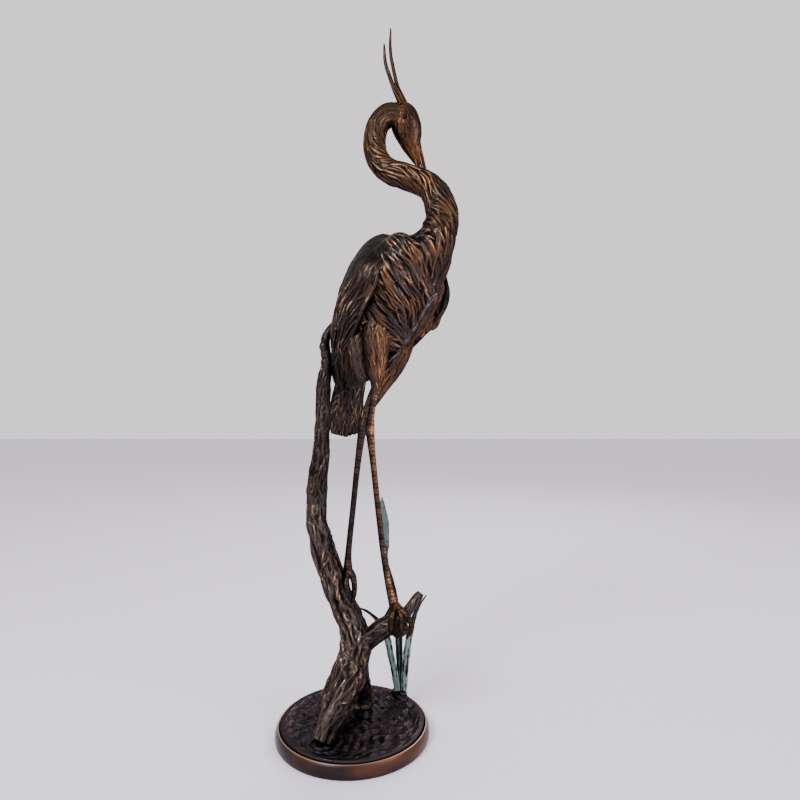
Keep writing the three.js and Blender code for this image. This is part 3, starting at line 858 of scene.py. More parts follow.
def plinth_bronze():
    """Smooth warm brown bronze, cloudier than the rest, with a fine cast skin and a painted highlight along
    its top edge.
    """
    finish = Finish("plinth_bronze")
    place = finish.place()
    cloud = finish.noise(finish.stretched(place, (9.0, 9.0, 22.0)), scale=1.0, detail=4.0)
    speck = finish.noise(place, scale=260.0, rough=0.6)
    edge = finish.field("ridge")
    patch = finish.between(cloud, 0.4, 0.72)
    colour = finish.blend(patch, (0.026, 0.018, 0.020), (0.100, 0.044, 0.024))
    # Painted highlight along the top edge.
    colour = finish.blend(edge, colour, (0.45, 0.30, 0.20))
    return finish.shade(base_color=colour, metallic=0.95, roughness=0.30 + 0.16 * cloud,
                        normal=finish.bump(speck, CAST_GRAIN, strength=0.3))


# How high above turn_height the crust has turned thin or thick, and how much darker its clouds are
CRUST_TURN = 0.06
CRUST_SHADE = 0.7


def verdigris(name, copper_green, dark, share, turn_height, thinned):
    """Green copper crust over dark bronze: chalky where it is thick, with dark flecks where
    the noise falls below share, and thinned by this much above turn_height."""
    finish = Finish(name)
    place = finish.place()
    height = finish.node("ShaderNodeSeparateXYZ", {}, {0: place}, 2)
    ridge = finish.field("ridge")
    cloud = finish.noise(place, scale=38.0, detail=4.0, rough=0.6)
    fleck = finish.noise(finish.stretched(place, (280.0, 280.0, 60.0)), scale=1.0, rough=0.65)
    upper = finish.between(height, turn_height, turn_height + CRUST_TURN)
    thick = cloud * 0.6 + fleck * 0.5 + ridge * 0.25 - upper * thinned
    crust = finish.between(thick, share, share + 0.14)
    shaded = tuple(CRUST_SHADE * part for part in copper_green)
    tint = finish.blend(finish.between(cloud, 0.3, 0.7), copper_green, shaded)
    colour = finish.blend(crust, dark, tint)
    return finish.shade(base_color=colour, metallic=0.6 * (1 - crust), roughness=0.42 + 0.3 * crust,
                        normal=finish.bump(fleck, 0.0006, strength=0.5))


PLINTH_BRONZE = plinth_bronze()
GREEN_REED = verdigris("green_reed", copper_green=(0.24, 0.37, 0.31), dark=(0.016, 0.024, 0.019),
                       share=0.52, turn_height=0.150, thinned=0.3)
# A darker copy of the verdigris: painted shade for the tall blade that rises behind the leg.
DARK_REED = verdigris("dark_reed", copper_green=(0.085, 0.135, 0.110), dark=(0.008, 0.012, 0.009),
                      share=0.62, turn_height=0.330, thinned=-0.2)


# Breast and neck


# Stations of the torso and then of the neck, as one path, and the shares of it that each piece takes
SPINE = [[*body_point(along, 0.0, back), width, depth] for along, back, width, depth in TORSO] + NECK
BREAST_SHARES = (0.0, 0.475)
NECK_SHARES = (0.435, 1.0)
# Where the rings turn from the bird's own directions to those of the view, and their twist, in
# radians, up to the head
SIDE_TURNS = (0.3, 0.6)
TWIST_BEGINS = 0.36
NECK_TWIST = 1.5
# Where the locks run at each station of the torso and then of the neck: x and z
LOCK_FLOW = 7 * [[0.45, -1.0]] + [[0.60, -0.80], [0.70, -0.75], [0.80, -0.60], [0.35, -0.95], [0.80, -0.60],
                                  [1.0, -0.10], [0.80, -0.60], [0.45, -0.90], [-0.25, -0.95], [-0.85, -0.45],
                                  [-1.0, 0.0]]
# How much the breast's locks lean towards this x for each metre away from it, and where up the path
# that ends
LEAN = 6.0
LEAN_MIDDLE = BODY_CENTRE[0] + 0.045
LEAN_ENDS = (0.30, 0.45)
# How squarely the skin faces the front where locks begin to run as LOCK_FLOW says, and where all do
FRONT_FACING = (-0.7, 0.1)
# How far the locks swing to each side, in radians, and over what length
SWING = 0.25
SWING_LENGTH = 0.045
# The breast is fullest here, by this much and this far round
BREAST_FRONT = np.array([0.180, -0.040, 0.912])
BREAST_FULLNESS = 0.0075
BREAST_REACH = 0.034
# The way that the skin faces in the corner between back and neck, how squarely it does at the corner's
# edge and inside it, where the corner begins along the path, and how deep it is. The corner also has
# painted shade.
CORNER_FACING = np.array([-0.7, 0.0, 0.7])
CORNER_EDGE = (-0.1, 0.4)
CORNER_BEGINS = (0.36, 0.44)
CORNER_DEPTH = 0.007
# How far the breast's locks sink into it, how squarely the skin faces up where the back begins and on
# it, how much flatter and deeper they lie there, and how much the whole swells, over what length
LOCK_SINK = 0.0018
BACK_FACING = (0.35, 0.85)
BACK_FLATTER = 0.7
BACK_SINK = 0.0012
SWELL = 0.0022
SWELL_LENGTH = 0.045
# Length, width and height of the neck's locks, how much less each is where they turn into fine hairs
# towards the head, and where that is along the path
NECK_LOCK = (0.044, 0.0068, 0.0030)
FINE_LESS = (0.012, 0.0018, 0.0018)
FINE_BEGINS = (0.70, 0.98)


def spine(shares, sides):
    """Torso and neck as one path. The rings' side turns from the bird's left to the depth of the
    view by a smoothstep, and the rings twist towards the head by another."""
    side = LEFT + smoothstep(shares, *SIDE_TURNS)[:, None] * (ACROSS - LEFT)
    return Skin(rings(SPINE, shares, sides, side, NECK_TWIST * smoothstep(shares, TWIST_BEGINS, 1)))


def lock_flow(skin, shares):
    """Locks run as LOCK_FLOW says at the front, leaning towards LEAN_MIDDLE on the breast, and back
    along the path where they face away. They swing together, to each side by a soft unevenness."""
    x, z = through(LOCK_FLOW, shares).T
    lean = LEAN * (LEAN_MIDDLE - skin.points[..., 0]) * (1 - smoothstep(shares, *LEAN_ENDS))[:, None]
    flow = unit(joined(x[:, None] + lean, 0.0, z[:, None]))
    front = smoothstep(-skin.normal[..., 1:2], *FRONT_FACING)
    flow = front * flow - (1 - front) * unit(skin.down)
    turn = SWING * unevenness(skin.points, SWING_LENGTH, 15)[..., None]
    return np.cos(turn) * flow + np.sin(turn) * np.cross(skin.normal, flow)


def breast():
    """The torso, under long wavy locks. They lie flatter on the back, by a smoothstep of how far the
    skin faces up, and there the back has painted shade. The whole swells by a soft unevenness and by
    a bell curve round BREAST_FRONT, and sinks in the corner below the neck, which has painted shade."""
    shares = np.linspace(*BREAST_SHARES, num=280)
    skin = Skin(evened(spine(shares, sides=330).points, reach=5.0))
    skin.cover(LOCK, lock_flow(skin, shares), length=0.056, width=0.0088, lift=0.0042, times=3.0, seed=11,
               wander=0.06, wave=0.13)
    skin.find_ridges(size=0.0036, contrast=0.28)
    skin.calm()
    top = smoothstep(skin.normal @ UP, *BACK_FACING)
    skin.height = (skin.height - LOCK_SINK) * (1 - BACK_FLATTER * top) - BACK_SINK * top
    skin.height += SWELL * unevenness(skin.points, SWELL_LENGTH, 14)
    # Painted shade: the back is darker where the skin faces up.
    skin.dull(top, by=0.22)
    corner = smoothstep(skin.normal @ CORNER_FACING, *CORNER_EDGE)
    corner = corner * smoothstep(shares, *CORNER_BEGINS)[:, None]
    skin.height -= CORNER_DEPTH * corner
    # Painted shade in the corner below the neck.
    skin.dull(corner, by=0.35)
    from_front = np.linalg.norm(skin.points - BREAST_FRONT, axis=-1)
    skin.height += BREAST_FULLNESS * bell(from_front, BREAST_REACH)
    skin.tuck(rows=(0, 22), depth=0.0055)
    crane_piece("breast", skin, FEATHER_BRONZE)


def neck():
    """The looped neck, under shorter locks that wind round it. Towards the head they shrink by a
    smoothstep and turn into fine hairs along the path."""
    shares = np.linspace(*NECK_SHARES, num=440)
    skin = spine(shares, sides=140)
    fine = smoothstep(shares, *FINE_BEGINS)[:, None]
    length, width, lift = (whole - less * fine for whole, less in zip(NECK_LOCK, FINE_LESS))
    skin.cover(LOCK, lock_flow(skin, shares), length, width, lift, times=3.0, seed=21, wander=0.05, wave=0.09)
    skin.find_ridges(size=0.0030, contrast=0.3)
    skin.calm()
    skin.ridge = 0.45 + (skin.ridge - 0.48) * (1 - 0.35 * fine) + 0.20 * fine
    # Painted shade: the neck is darker where it faces up.
    skin.dull(smoothstep(skin.normal @ UP, 0.3, 0.8), by=0.12)
    locks = skin.flow
    skin.comb()
    skin.flow = np.where(fine[..., None] < 0.5, locks, skin.flow)
    skin.height -= 0.0019 * (1 - fine)
    skin.tuck(rows=(18, 6), depth=0.008)
    crane_piece("neck", skin, NECK_BRONZE)


# Head


# The right eye, the y of the head's middle, and the share of the way out from there to each eye's seat
EYE = (0.1044, -0.0118, 1.2288)
HEAD_MIDDLE = 0.008
EYE_SEAT = 0.97
# An eye's radius, how far it bulges and how high its opening is as shares of that, its lid, and how
# bright both are
EYE_RADIUS = 0.0034
EYE_BULGE = 0.8
EYE_OPENING = 0.85
LID_RADIUS = 0.0048
LID_THICKNESS = 0.0009
LID_ROOT = 0.004
EYE_RIDGE = 0.2
LID_RIDGE = 0.45
# The hollow round each eye, and the brow over it: depth or height, how far away, and how wide
SOCKET_DEPTH = 0.0022
SOCKET_REACH = 0.0055
BROW_HEIGHT = 0.0016
BROW_DISTANCE = 0.0085
BROW_WIDTH = 0.003
# The ways that the skin faces on the cheek below, which has painted shade, on the pale stripe below the
# eye, and on the far side, which has painted shade, and the heights between which the stripe begins
CHEEK_FACING = np.array([-0.75, 0.0, -0.65])
STRIPE_FACING = np.array([0.35, -0.93, 0.0])
SHADE_FACING = np.array([0.85, -0.50, 0.1])
STRIPE_TOP = (1.215, 1.190)


def head():
    """The head, under fine flat feathers, with a bell curve's hollow round each eye, another's brow
    over it, a pale stripe below the eye, and painted shade on the cheek below and on the far side."""
    skin = Skin(rings(HEAD, evenly(120), 90, ACROSS))
    skin.cover(LOCK, -unit(skin.down), length=0.018, width=0.0038, lift=0.0006, times=3.0, seed=31)
    skin.find_ridges(size=0.0030)
    cheek = smoothstep(skin.normal @ CHEEK_FACING, 0.1, 0.8)
    stripe = smoothstep(skin.normal @ STRIPE_FACING, 0.88, 1.0) * smoothstep(skin.points[..., 2], *STRIPE_TOP)
    # Painted shade on the cheek below and on the far side.
    skin.ridge = 0.52 + (skin.ridge - 0.5) * 0.4 - 0.40 * cheek + 0.10 * stripe
    skin.dull(smoothstep(skin.normal @ SHADE_FACING, 0.70, 0.95), by=0.30)
    skin.comb()
    from_eye = np.hypot(skin.points[..., 0] - EYE[0], skin.points[..., 2] - EYE[2])
    skin.height -= SOCKET_DEPTH * bell(from_eye, SOCKET_REACH)
    skin.height += BROW_HEIGHT * bell(from_eye - BROW_DISTANCE, BROW_WIDTH) * (skin.points[..., 2] > EYE[2])
    crane_piece("head", skin, HEAD_BRONZE)


def eyes():
    """Each eye is a half ball with a lid round it, on either side of the head: a profile of
    distance from the eye's axis and height over its seat, turned once round."""
    ball = np.linspace(0.05, np.pi / 2, 8)
    lid = np.linspace(np.pi, -0.2 * np.pi, 8)
    radius = np.concatenate([EYE_RADIUS * np.sin(ball), LID_RADIUS + LID_THICKNESS * np.cos(lid),
                             [LID_RADIUS]])
    out = np.concatenate([EYE_RADIUS * np.cos(ball) * EYE_BULGE, LID_THICKNESS * np.sin(lid), [-LID_ROOT]])
    x, z = turned(radius, angles(28))
    for name, sign in (("eye_right", -1.0), ("eye_left", 1.0)):
        seat = np.array([EYE[0], HEAD_MIDDLE + sign * (HEAD_MIDDLE - EYE[1]) * EYE_SEAT, EYE[2]])
        skin = Skin(seat + joined(x, out[:, None] * sign, EYE_OPENING * z), facing=-sign)
        skin.ridge[:] = np.where(np.arange(len(radius)) < len(ball), EYE_RIDGE, LID_RIDGE)[:, None]
        crane_piece(name, skin, HEAD_BRONZE)


# The upper and lower half of the bill: stations, and the depth of the groove along each side
BILL = {"bill_upper": (UPPER_BILL, 0.0009), "bill_lower": (LOWER_BILL, 0.00054)}
BILL_SIDES = 24


def bill():
    """The two halves of the bill, smooth, with a groove along each side: a high power of the
    angle's cosine, fading at both ends by a sine."""
    for name, (rows, groove) in BILL.items():
        shares = evenly(60)
        skin = Skin(rings(rows, shares, BILL_SIDES, ACROSS))
        side = np.abs(np.cos(angles(BILL_SIDES))) ** 12
        fade = np.sin(np.pi * np.clip(shares * 1.3, 0, 1))
        skin.height -= groove * side[None, :] * fade[:, None]
        skin.ridge[:] = 0.62 - 0.5 * side[None, :]
        skin.comb()
        crane_piece(name, skin, HEAD_BRONZE)


# How many strands each crest plume has, how often and how far they swing round it, in radians, how
# deep the grooves between them are, and how far the plume sways
CREST_STRANDS = 5
CREST_WAVES = 2.2
CREST_SWING = 0.35
CREST_GROOVE = 0.0010
CREST_SWAY = 0.0006
CREST_SIDES = 30


def crest():
    """Two plumes that curl up from the brow: round rings whose ridges are a cosine of the angle, and
    which wave a little from side to side by a sine along the plume."""
    shares = evenly(90)
    angle = angles(CREST_SIDES)[None, :]
    for i, (name, rows) in enumerate([("crest_right", CREST_RIGHT), ("crest_left", CREST_LEFT)], start=1):
        skin = Skin(rings(rows, shares, CREST_SIDES))
        swing = np.sin(2 * np.pi * (CREST_WAVES * shares + 0.13 * i))[:, None]
        ridge = raised_cosine(CREST_STRANDS * (angle + CREST_SWING * swing))
        skin.height = CREST_GROOVE * (ridge - 0.5) + CREST_SWAY * swing * np.cos(angle + i)
        skin.ridge = 0.22 + 0.42 * ridge
        skin.comb()
        crane_piece(name, skin, NECK_BRONZE)


# Wings, loose feathers and tail


# How thick a folded wing is in its middle and at its edges, how far the front edge of each stands off
# the body, and which way is out for each, as a sign along LEFT
WING_THICKNESS = 0.022
WING_EDGE = 0.0006
WING_SPREAD = {"right": 0.0, "left": 0.015}
WING_TURN = {"right": -1.0, "left": 1.0}
# Lengths and widths of the feathers at shares of the way from the shoulder to the tail
FEATHER_LENGTHS = ([0.0, 0.3, 0.5, 0.68, 1.0], [0.040, 0.044, 0.052, 0.085, 0.100])
FEATHER_WIDTHS = ([0.0, 0.3, 0.5, 1.0], [0.0066, 0.0088, 0.0084, 0.0066])
# How high the shoulder's small feathers lie, how much higher the large ones are, where along the wing
# they grow, and how much they all droop from the wing's own line
COVERT_LIFT = 0.0009
GROWN_LIFT = 0.0039
GROWN = (0.12, 0.42)
FEATHER_DROOP = 0.12 * np.array([0.45, 0.0, -1.0])
# How much brighter a feather's edge and shaft are rubbed, the share of its half width at which the
# edge begins and is whole, and the shaft's width
EDGE_RUB = 0.20
EDGE_BEGINS = (0.62, 0.88)
SHAFT_RUB = 0.14
SHAFT_WIDTH = 0.14
# How much of the way across or along the wing its relief takes to rise from each edge
WING_FADE = 0.02
# The smooth brim along the front: height, place and width as shares across the wing, its ridge, and
# the shares along the wing where it begins and ends
BRIM_HEIGHT = 0.0026
BRIM_PLACE = 0.03
BRIM_WIDTH = 0.020
BRIM_RIDGE = 0.78
BRIM_BEGINS = (0.10, 0.25)
BRIM_ENDS = (0.75, 0.55)


def wing_point(p, q, turn, spread):
    """A point of the wing's outside at share p towards the tail and q towards the back: smooth
    through each row of stations along p, and then through the rows along q."""
    along_rows = np.stack([through(row, p) for row in WING])
    place = through(along_rows, q)
    along, out, back = place[..., 0], place[..., 1], place[..., 2]
    out = turn * (out + spread * (1 - q[:, None]))
    return np.swapaxes(body_point(along, out, back), 0, 1)


def wing(side, count, columns, finish):
    """A folded wing, its rings running over its outside and back along its inside: small flat
    coverts at the shoulder, then feathers that are higher and longer towards the tail, with rubbed
    edges and shafts, and a smooth brim along the front by a bell curve. Its thickness is the root
    of a sine across it, times a low power of a sine along it."""
    p = evenly(count)
    q = evenly(columns)
    outside = Skin(wing_point(p, q, WING_TURN[side], WING_SPREAD[side]), closed=False,
                   facing=-WING_TURN[side])
    thickness = WING_THICKNESS * np.sin(np.pi * q[None, :]) ** 0.5 * np.sin(np.pi * p[:, None]) ** 0.3
    inside = outside.points - outside.normal * (thickness + WING_EDGE)[..., None]
    skin = Skin(np.concatenate([outside.points, inside[:, 1:-1:2][:, ::-1]], axis=1), facing=outside.facing)
    grown = smoothstep(p, *GROWN)[:, None]
    skin.cover(FEATHER, unit(skin.down) + FEATHER_DROOP, length=np.interp(p, *FEATHER_LENGTHS)[:, None],
               width=np.interp(p, *FEATHER_WIDTHS)[:, None], lift=COVERT_LIFT + GROWN_LIFT * grown,
               times=2.6, seed=43, wander=0.09, wave=0.14)
    skin.find_ridges(size=0.0036, contrast=0.38)
    veined = EDGE_RUB * smoothstep(skin.margin, *EDGE_BEGINS) + SHAFT_RUB * bell(skin.margin, SHAFT_WIDTH)
    # The shoulder has painted shade, 0.10 darker than the large feathers, and its edges and shafts are rubbed
    # less.
    skin.ridge += (0.35 + 0.65 * grown) * veined - 0.24 + 0.10 * grown
    skin.calm()
    skin.height -= 0.0012
    from_front = np.concatenate([q, q[1:-1:2][::-1]])[None, :]
    brim = (smoothstep(p, *BRIM_BEGINS) * smoothstep(p, *BRIM_ENDS))[:, None]
    brim = brim * bell(from_front - BRIM_PLACE, BRIM_WIDTH)
    skin.height = skin.height * (1 - brim) + BRIM_HEIGHT * brim
    skin.ridge = skin.ridge * (1 - brim) + BRIM_RIDGE * brim
    for share in (from_front, p[:, None]):
        skin.height *= smoothstep(share, 0, WING_FADE) * smoothstep(1 - share, 0, WING_FADE)
    crane_piece("wing_" + side, skin, finish)


# Path of the wing's smooth lower edge across the belly: x, y, z, radius
BELLY_BAND = [
    [0.175, -0.028, 0.893, 0.0010],
    [0.172, -0.040, 0.885, 0.0022],
    [0.164, -0.056, 0.873, 0.0026],
    [0.152, -0.061, 0.859, 0.0040],
    [0.139, -0.056, 0.839, 0.0030],
    [0.128, -0.044, 0.820, 0.0038],
    [0.114, -0.022, 0.797, 0.0030],
    [0.095, 0.010, 0.772, 0.0036],
    [0.082, 0.018, 0.7585, 0.0030],
    [0.070, 0.026, 0.746, 0.0016],
]
# Plump feathers under the left wing, and long dark ones from the right wing's tip over the tail:
# where each starts, bends and ends, and its half width
LEFT_PLUMES = [
    [[0.172, 0.044, 0.868], [0.162, 0.056, 0.836], [0.152, 0.064, 0.812], 0.0085],
    [[0.160, 0.040, 0.850], [0.147, 0.058, 0.826], [0.137, 0.069, 0.802], 0.0080],
    [[0.178, 0.050, 0.858], [0.172, 0.062, 0.832], [0.161, 0.070, 0.816], 0.0070],
    [[0.176, 0.036, 0.886], [0.177, 0.044, 0.862], [0.172, 0.052, 0.842], 0.0070],
]
RIGHT_PLUMES = [
    [[-0.034, -0.008, 0.806], [-0.040, 0.030, 0.752], [-0.043, 0.078, 0.704], 0.0065],
    [[-0.026, -0.014, 0.800], [-0.034, 0.028, 0.742], [-0.035, 0.088, 0.682], 0.0070],
    [[-0.016, -0.016, 0.806], [-0.024, 0.026, 0.748], [-0.026, 0.086, 0.690], 0.0070],
    [[-0.006, -0.016, 0.812], [-0.013, 0.026, 0.756], [-0.017, 0.088, 0.676], 0.0065],
    [[-0.034, -0.004, 0.830], [-0.037, 0.020, 0.786], [-0.043, 0.052, 0.744], 0.0050],
]
# Widths of a plume from root to tip, as shares of its widest, and the way that its blade lies
PLUME_SHAPE = [0.6, 0.85, 1.0, 1.0, 0.95, 0.45]
PLUME_SIDE = np.array([1.0, 0.45, 0.0])
# A plume's locks: their length, how far they sway to each side and how often along the plume
PLUME_LOCK = 0.040
PLUME_SWAY = 0.55
PLUME_WAVES = 1.7
# The tail: how many feathers, where they start along and behind the body, where the middle one bends
# and ends, how far apart the two outer ones are at all three places, the rise of the tips for each
# whole width of the fan, and the half width
TAIL_FEATHERS = 7
TAIL_ALONG = -0.12
TAIL_BACK = 0.010
TAIL_BEND = np.array([-0.015, 0.106, 0.700])
TAIL_TIP = np.array([-0.028, 0.142, 0.586])
START_FAN = 0.044
BEND_FAN = np.array([0.044, 0.022, 0.0])
TIP_FAN = np.array([0.054, 0.026, 0.0])
TIP_RISE = 0.014 * UP
TAIL_HALF_WIDTH = 0.0115


def plume(name, path, half_width, half_thickness, finish, seed):
    """A loose feather: a flat blade along a smooth path, under fine locks that sway along it by a
    sine."""
    shares = evenly(len(PLUME_SHAPE))
    rows = [[*centre, half_width * share, half_thickness * min(1, 1.5 * share)]
            for centre, share in zip(through(path, shares), PLUME_SHAPE)]
    along = evenly(84)
    skin = Skin(rings(rows, along, 28, PLUME_SIDE))
    sway = PLUME_SWAY * np.sin(2 * np.pi * (PLUME_WAVES * along + 0.23 * seed))[:, None, None]
    flow = unit(skin.down) + sway * unit(skin.over) * np.sign(skin.normal[..., 1:2])
    skin.cover(LOCK, flow, length=PLUME_LOCK, width=half_width * 0.55, lift=0.0020, times=2.8, seed=seed)
    skin.find_ridges(size=0.0030)
    skin.height -= 0.0009
    crane_piece(name, skin, finish)


def loose_feathers():
    """The belly's smooth band, uneven under a few locks and painted with a pale grey sheen as its
    reflection, and the feathers that hang free of the wings."""
    shares = evenly(120)
    skin = Skin(rings(BELLY_BAND, shares, 24))
    skin.cover(LOCK, unit(skin.down), length=0.045, width=0.0045, lift=0.0022, times=2.6, seed=45)
    skin.height += 0.0012 * unevenness(skin.points, 0.020, 47) + 0.0004
    skin.height *= smoothstep(shares, 0, 0.1)[:, None]
    skin.find_ridges(size=0.0024, contrast=0.2)
    crane_piece("belly_band", skin, BAND_BRONZE)
    for i, (*path, half_width) in enumerate(LEFT_PLUMES):
        plume("left_plume_%d" % (i + 1), path, half_width, 0.0045, FEATHER_BRONZE, 300 + 2 * i)
    for i, (*path, half_width) in enumerate(RIGHT_PLUMES):
        plume("right_plume_%d" % (i + 1), path, half_width, 0.0040, DARK_BRONZE, 320 + 2 * i)


def tail():
    """Wavy tail feathers fanned side by side, from half the fan to one side to half to the other.
    The middle ones are the thickest."""
    for i in range(TAIL_FEATHERS):
        fan = i / (TAIL_FEATHERS - 1) - 0.5
        path = [body_point(TAIL_ALONG, START_FAN * fan, TAIL_BACK), TAIL_BEND + BEND_FAN * fan,
                TAIL_TIP + TIP_FAN * fan + TIP_RISE * abs(fan)]
        plume("tail_feather_%d" % (i + 1), path, TAIL_HALF_WIDTH, 0.006 + 0.004 * (1 - abs(2 * fan)),
              DARK_BRONZE, 350 + 2 * i)


# Legs


# The length of a leg's plates, and the angle round a limb of its front right, where its painted
# highlight is brightest
PLATE_PITCH = 0.0078
FRONT_RIGHT = 0.70 * np.pi
# How far the grooves between the plates bend round the leg and stray, and how wide they are, as
# shares of a plate, and over what length they stray
PLATE_BEND = 0.15
PLATE_STRAY = 0.12
PLATE_GROOVE = 0.10
PLATE_STRAY_LENGTH = 0.03
# How much a plate's tone differs from the last one's: the golden ratio's share, so that none repeat
PLATE_TONE = 0.618
# How many of the toes, which come first, are the near foot's
NEAR_TOES = 4


def feathered_limb(name, rows, count, sides, length, width, lift, shine, finish, seed):
    """A thigh, under locks that run down it, with a painted highlight of this strength towards the front
    right and painted shade towards the back left, by the cosine of the angle, and painted shade at
    its top, where it goes in under the body."""
    shares = evenly(count)
    skin = Skin(rings(rows, shares, sides))
    skin.cover(LOCK, unit(skin.down), length, width, lift, times=3.0, seed=seed, wander=0.12, wave=0.25)
    skin.find_ridges(size=0.0024, contrast=0.17)
    # Painted highlight towards the front right and painted shade towards the back left.
    skin.ridge += shine * (np.cos(angles(sides) - FRONT_RIGHT) - 0.38)
    # Painted shade at the top, where the thigh goes in under the body.
    skin.dull(1 - smoothstep(shares, 0.08, 0.32)[:, None], by=0.35)
    skin.height -= 0.3 * lift
    crane_piece(name, skin, finish)


def scaled_limb(name, rows, count, sides, depth, shine, finish):
    """A bare leg or toe: smooth, with a narrow groove below each of its plates, a bell curve of the
    way from it, which fades away from the front right by a power of the cosine. The metal there
    has a painted highlight by the same power, brightest on the knuckles."""
    shares = evenly(count)
    skin = Skin(rings(rows, shares, sides))
    walked = skin.comb()
    angle = angles(sides)[None, :]
    front = raised_cosine(angle - FRONT_RIGHT) ** 2.4
    place = walked[:, None] / PLATE_PITCH + PLATE_BEND * np.cos(2 * angle)
    place = place + PLATE_STRAY * unevenness(skin.points, PLATE_STRAY_LENGTH, 57)
    groove = bell(place % 1 - 0.5, PLATE_GROOVE) * front
    skin.height = -depth * groove
    radius = through(rows, shares)[:, 3:4]
    knuckle = np.clip(radius / np.median(radius) - 1, -0.3, 0.6)
    # Painted highlight towards the front right, brighter on the knuckles and less towards the end.
    wear_and_light = (shine - 0.15 + 0.6 * knuckle) * (1 - 0.6 * smoothstep(shares, 0.84, 0.97))[:, None]
    skin.ridge = 0.15 + wear_and_light * front - 0.6 * groove
    skin.tone = np.broadcast_to((np.floor(place) * PLATE_TONE) % 1, skin.shape).copy()
    crane_piece(name, skin, finish)


def legs():
    """Feathered thighs over bare legs and feet."""
    feathered_limb("thigh_near", NEAR_THIGH, 150, 120, length=0.034, width=0.0040, lift=0.0012, shine=0.46,
                   finish=THIGH_BRONZE, seed=51)
    feathered_limb("thigh_near_back", NEAR_THIGH_BACK, 90, 80, length=0.030, width=0.0060, lift=0.0014,
                   shine=0.0, finish=SMOOTH_BRONZE, seed=53)
    feathered_limb("thigh_far", FAR_THIGH, 130, 100, length=0.032, width=0.0062, lift=0.0018, shine=0.12,
                   finish=THIGH_BRONZE, seed=55)
    scaled_limb("leg_near", NEAR_LEG, 460, 36, depth=0.0006, shine=0.95, finish=THIGH_BRONZE)
    scaled_limb("leg_far", FAR_LEG, 300, 28, depth=0.0003, shine=0.60, finish=SMOOTH_BRONZE)
    # The far toes take the darker bronze as painted shade.
    for i, rows in enumerate(TOES):
        scaled_limb("toe_%d" % (i + 1), rows, 60, 24, depth=0.0004, shine=0.6,
                    finish=HEAD_BRONZE if i < NEAR_TOES else DARK_BRONZE)


# Tree and reeds


# Knots of the wood, hollows with a raised lip: place, radius and depth. A depth below 0 is a bulge.
KNOTS = [((-0.006, -0.036, 0.130), 0.010, 0.009), ((-0.030, -0.004, 0.262), 0.008, 0.006),
         ((-0.060, 0.044, 0.746), 0.011, -0.005), ((-0.068, 0.048, 0.780), 0.010, -0.005),
         ((-0.080, 0.012, 0.440), 0.012, -0.004), ((0.008, -0.030, 0.196), 0.010, -0.005)]
# A knot's lip: its height as a share of the depth, and its place and width as shares of the radius;
# and how steep the hollow is
KNOT_LIP = 0.35
KNOT_LIP_PLACE = 1.3
KNOT_LIP_WIDTH = 0.35
KNOT_STEEPNESS = 1.2
# Flutes of the wood: how many run round it, how deep they are where it is WOOD_RADIUS thick, and how
# far they stray, in radians. All of them wind round it by FLUTE_TWIST radians a metre.
FLUTES = [(3, 0.0044, 2.6), (7, 0.0022, 2.6)]
FLUTE_TWIST = 5.0
WOOD_RADIUS = 0.025
# How much of the relief shows on the thinnest and the thickest wood
RELIEF_RANGE = (0.15, 1.1)
# Lengths over which the flutes stray and fade, and the height and length of the wood's own swells
FLUTE_STRAY_LENGTH = 0.06
FLUTE_FADE_LENGTH = 0.030
WOOD_SWELL = 0.0028
WOOD_SWELL_LENGTH = 0.045
# Strips of bark: least length, how much longer and how high they are on wood of WOOD_RADIUS, width,
# and how far they swing to each side, over what length
BARK_LENGTH = 0.026
BARK_GROWTH = 0.034
BARK_HEIGHT = 0.0024
BARK_WIDTH = 0.0064
BARK_SWING = 0.45
BARK_SWING_LENGTH = 0.036
# The fine grain: height, width, and how many times longer than wide it is
GRAIN_HEIGHT = 0.0006
GRAIN_WIDTH = 0.007
GRAIN_STRETCH = 3
# Height above which the wood is duller
DULL_WOOD = (0.42, 0.56)


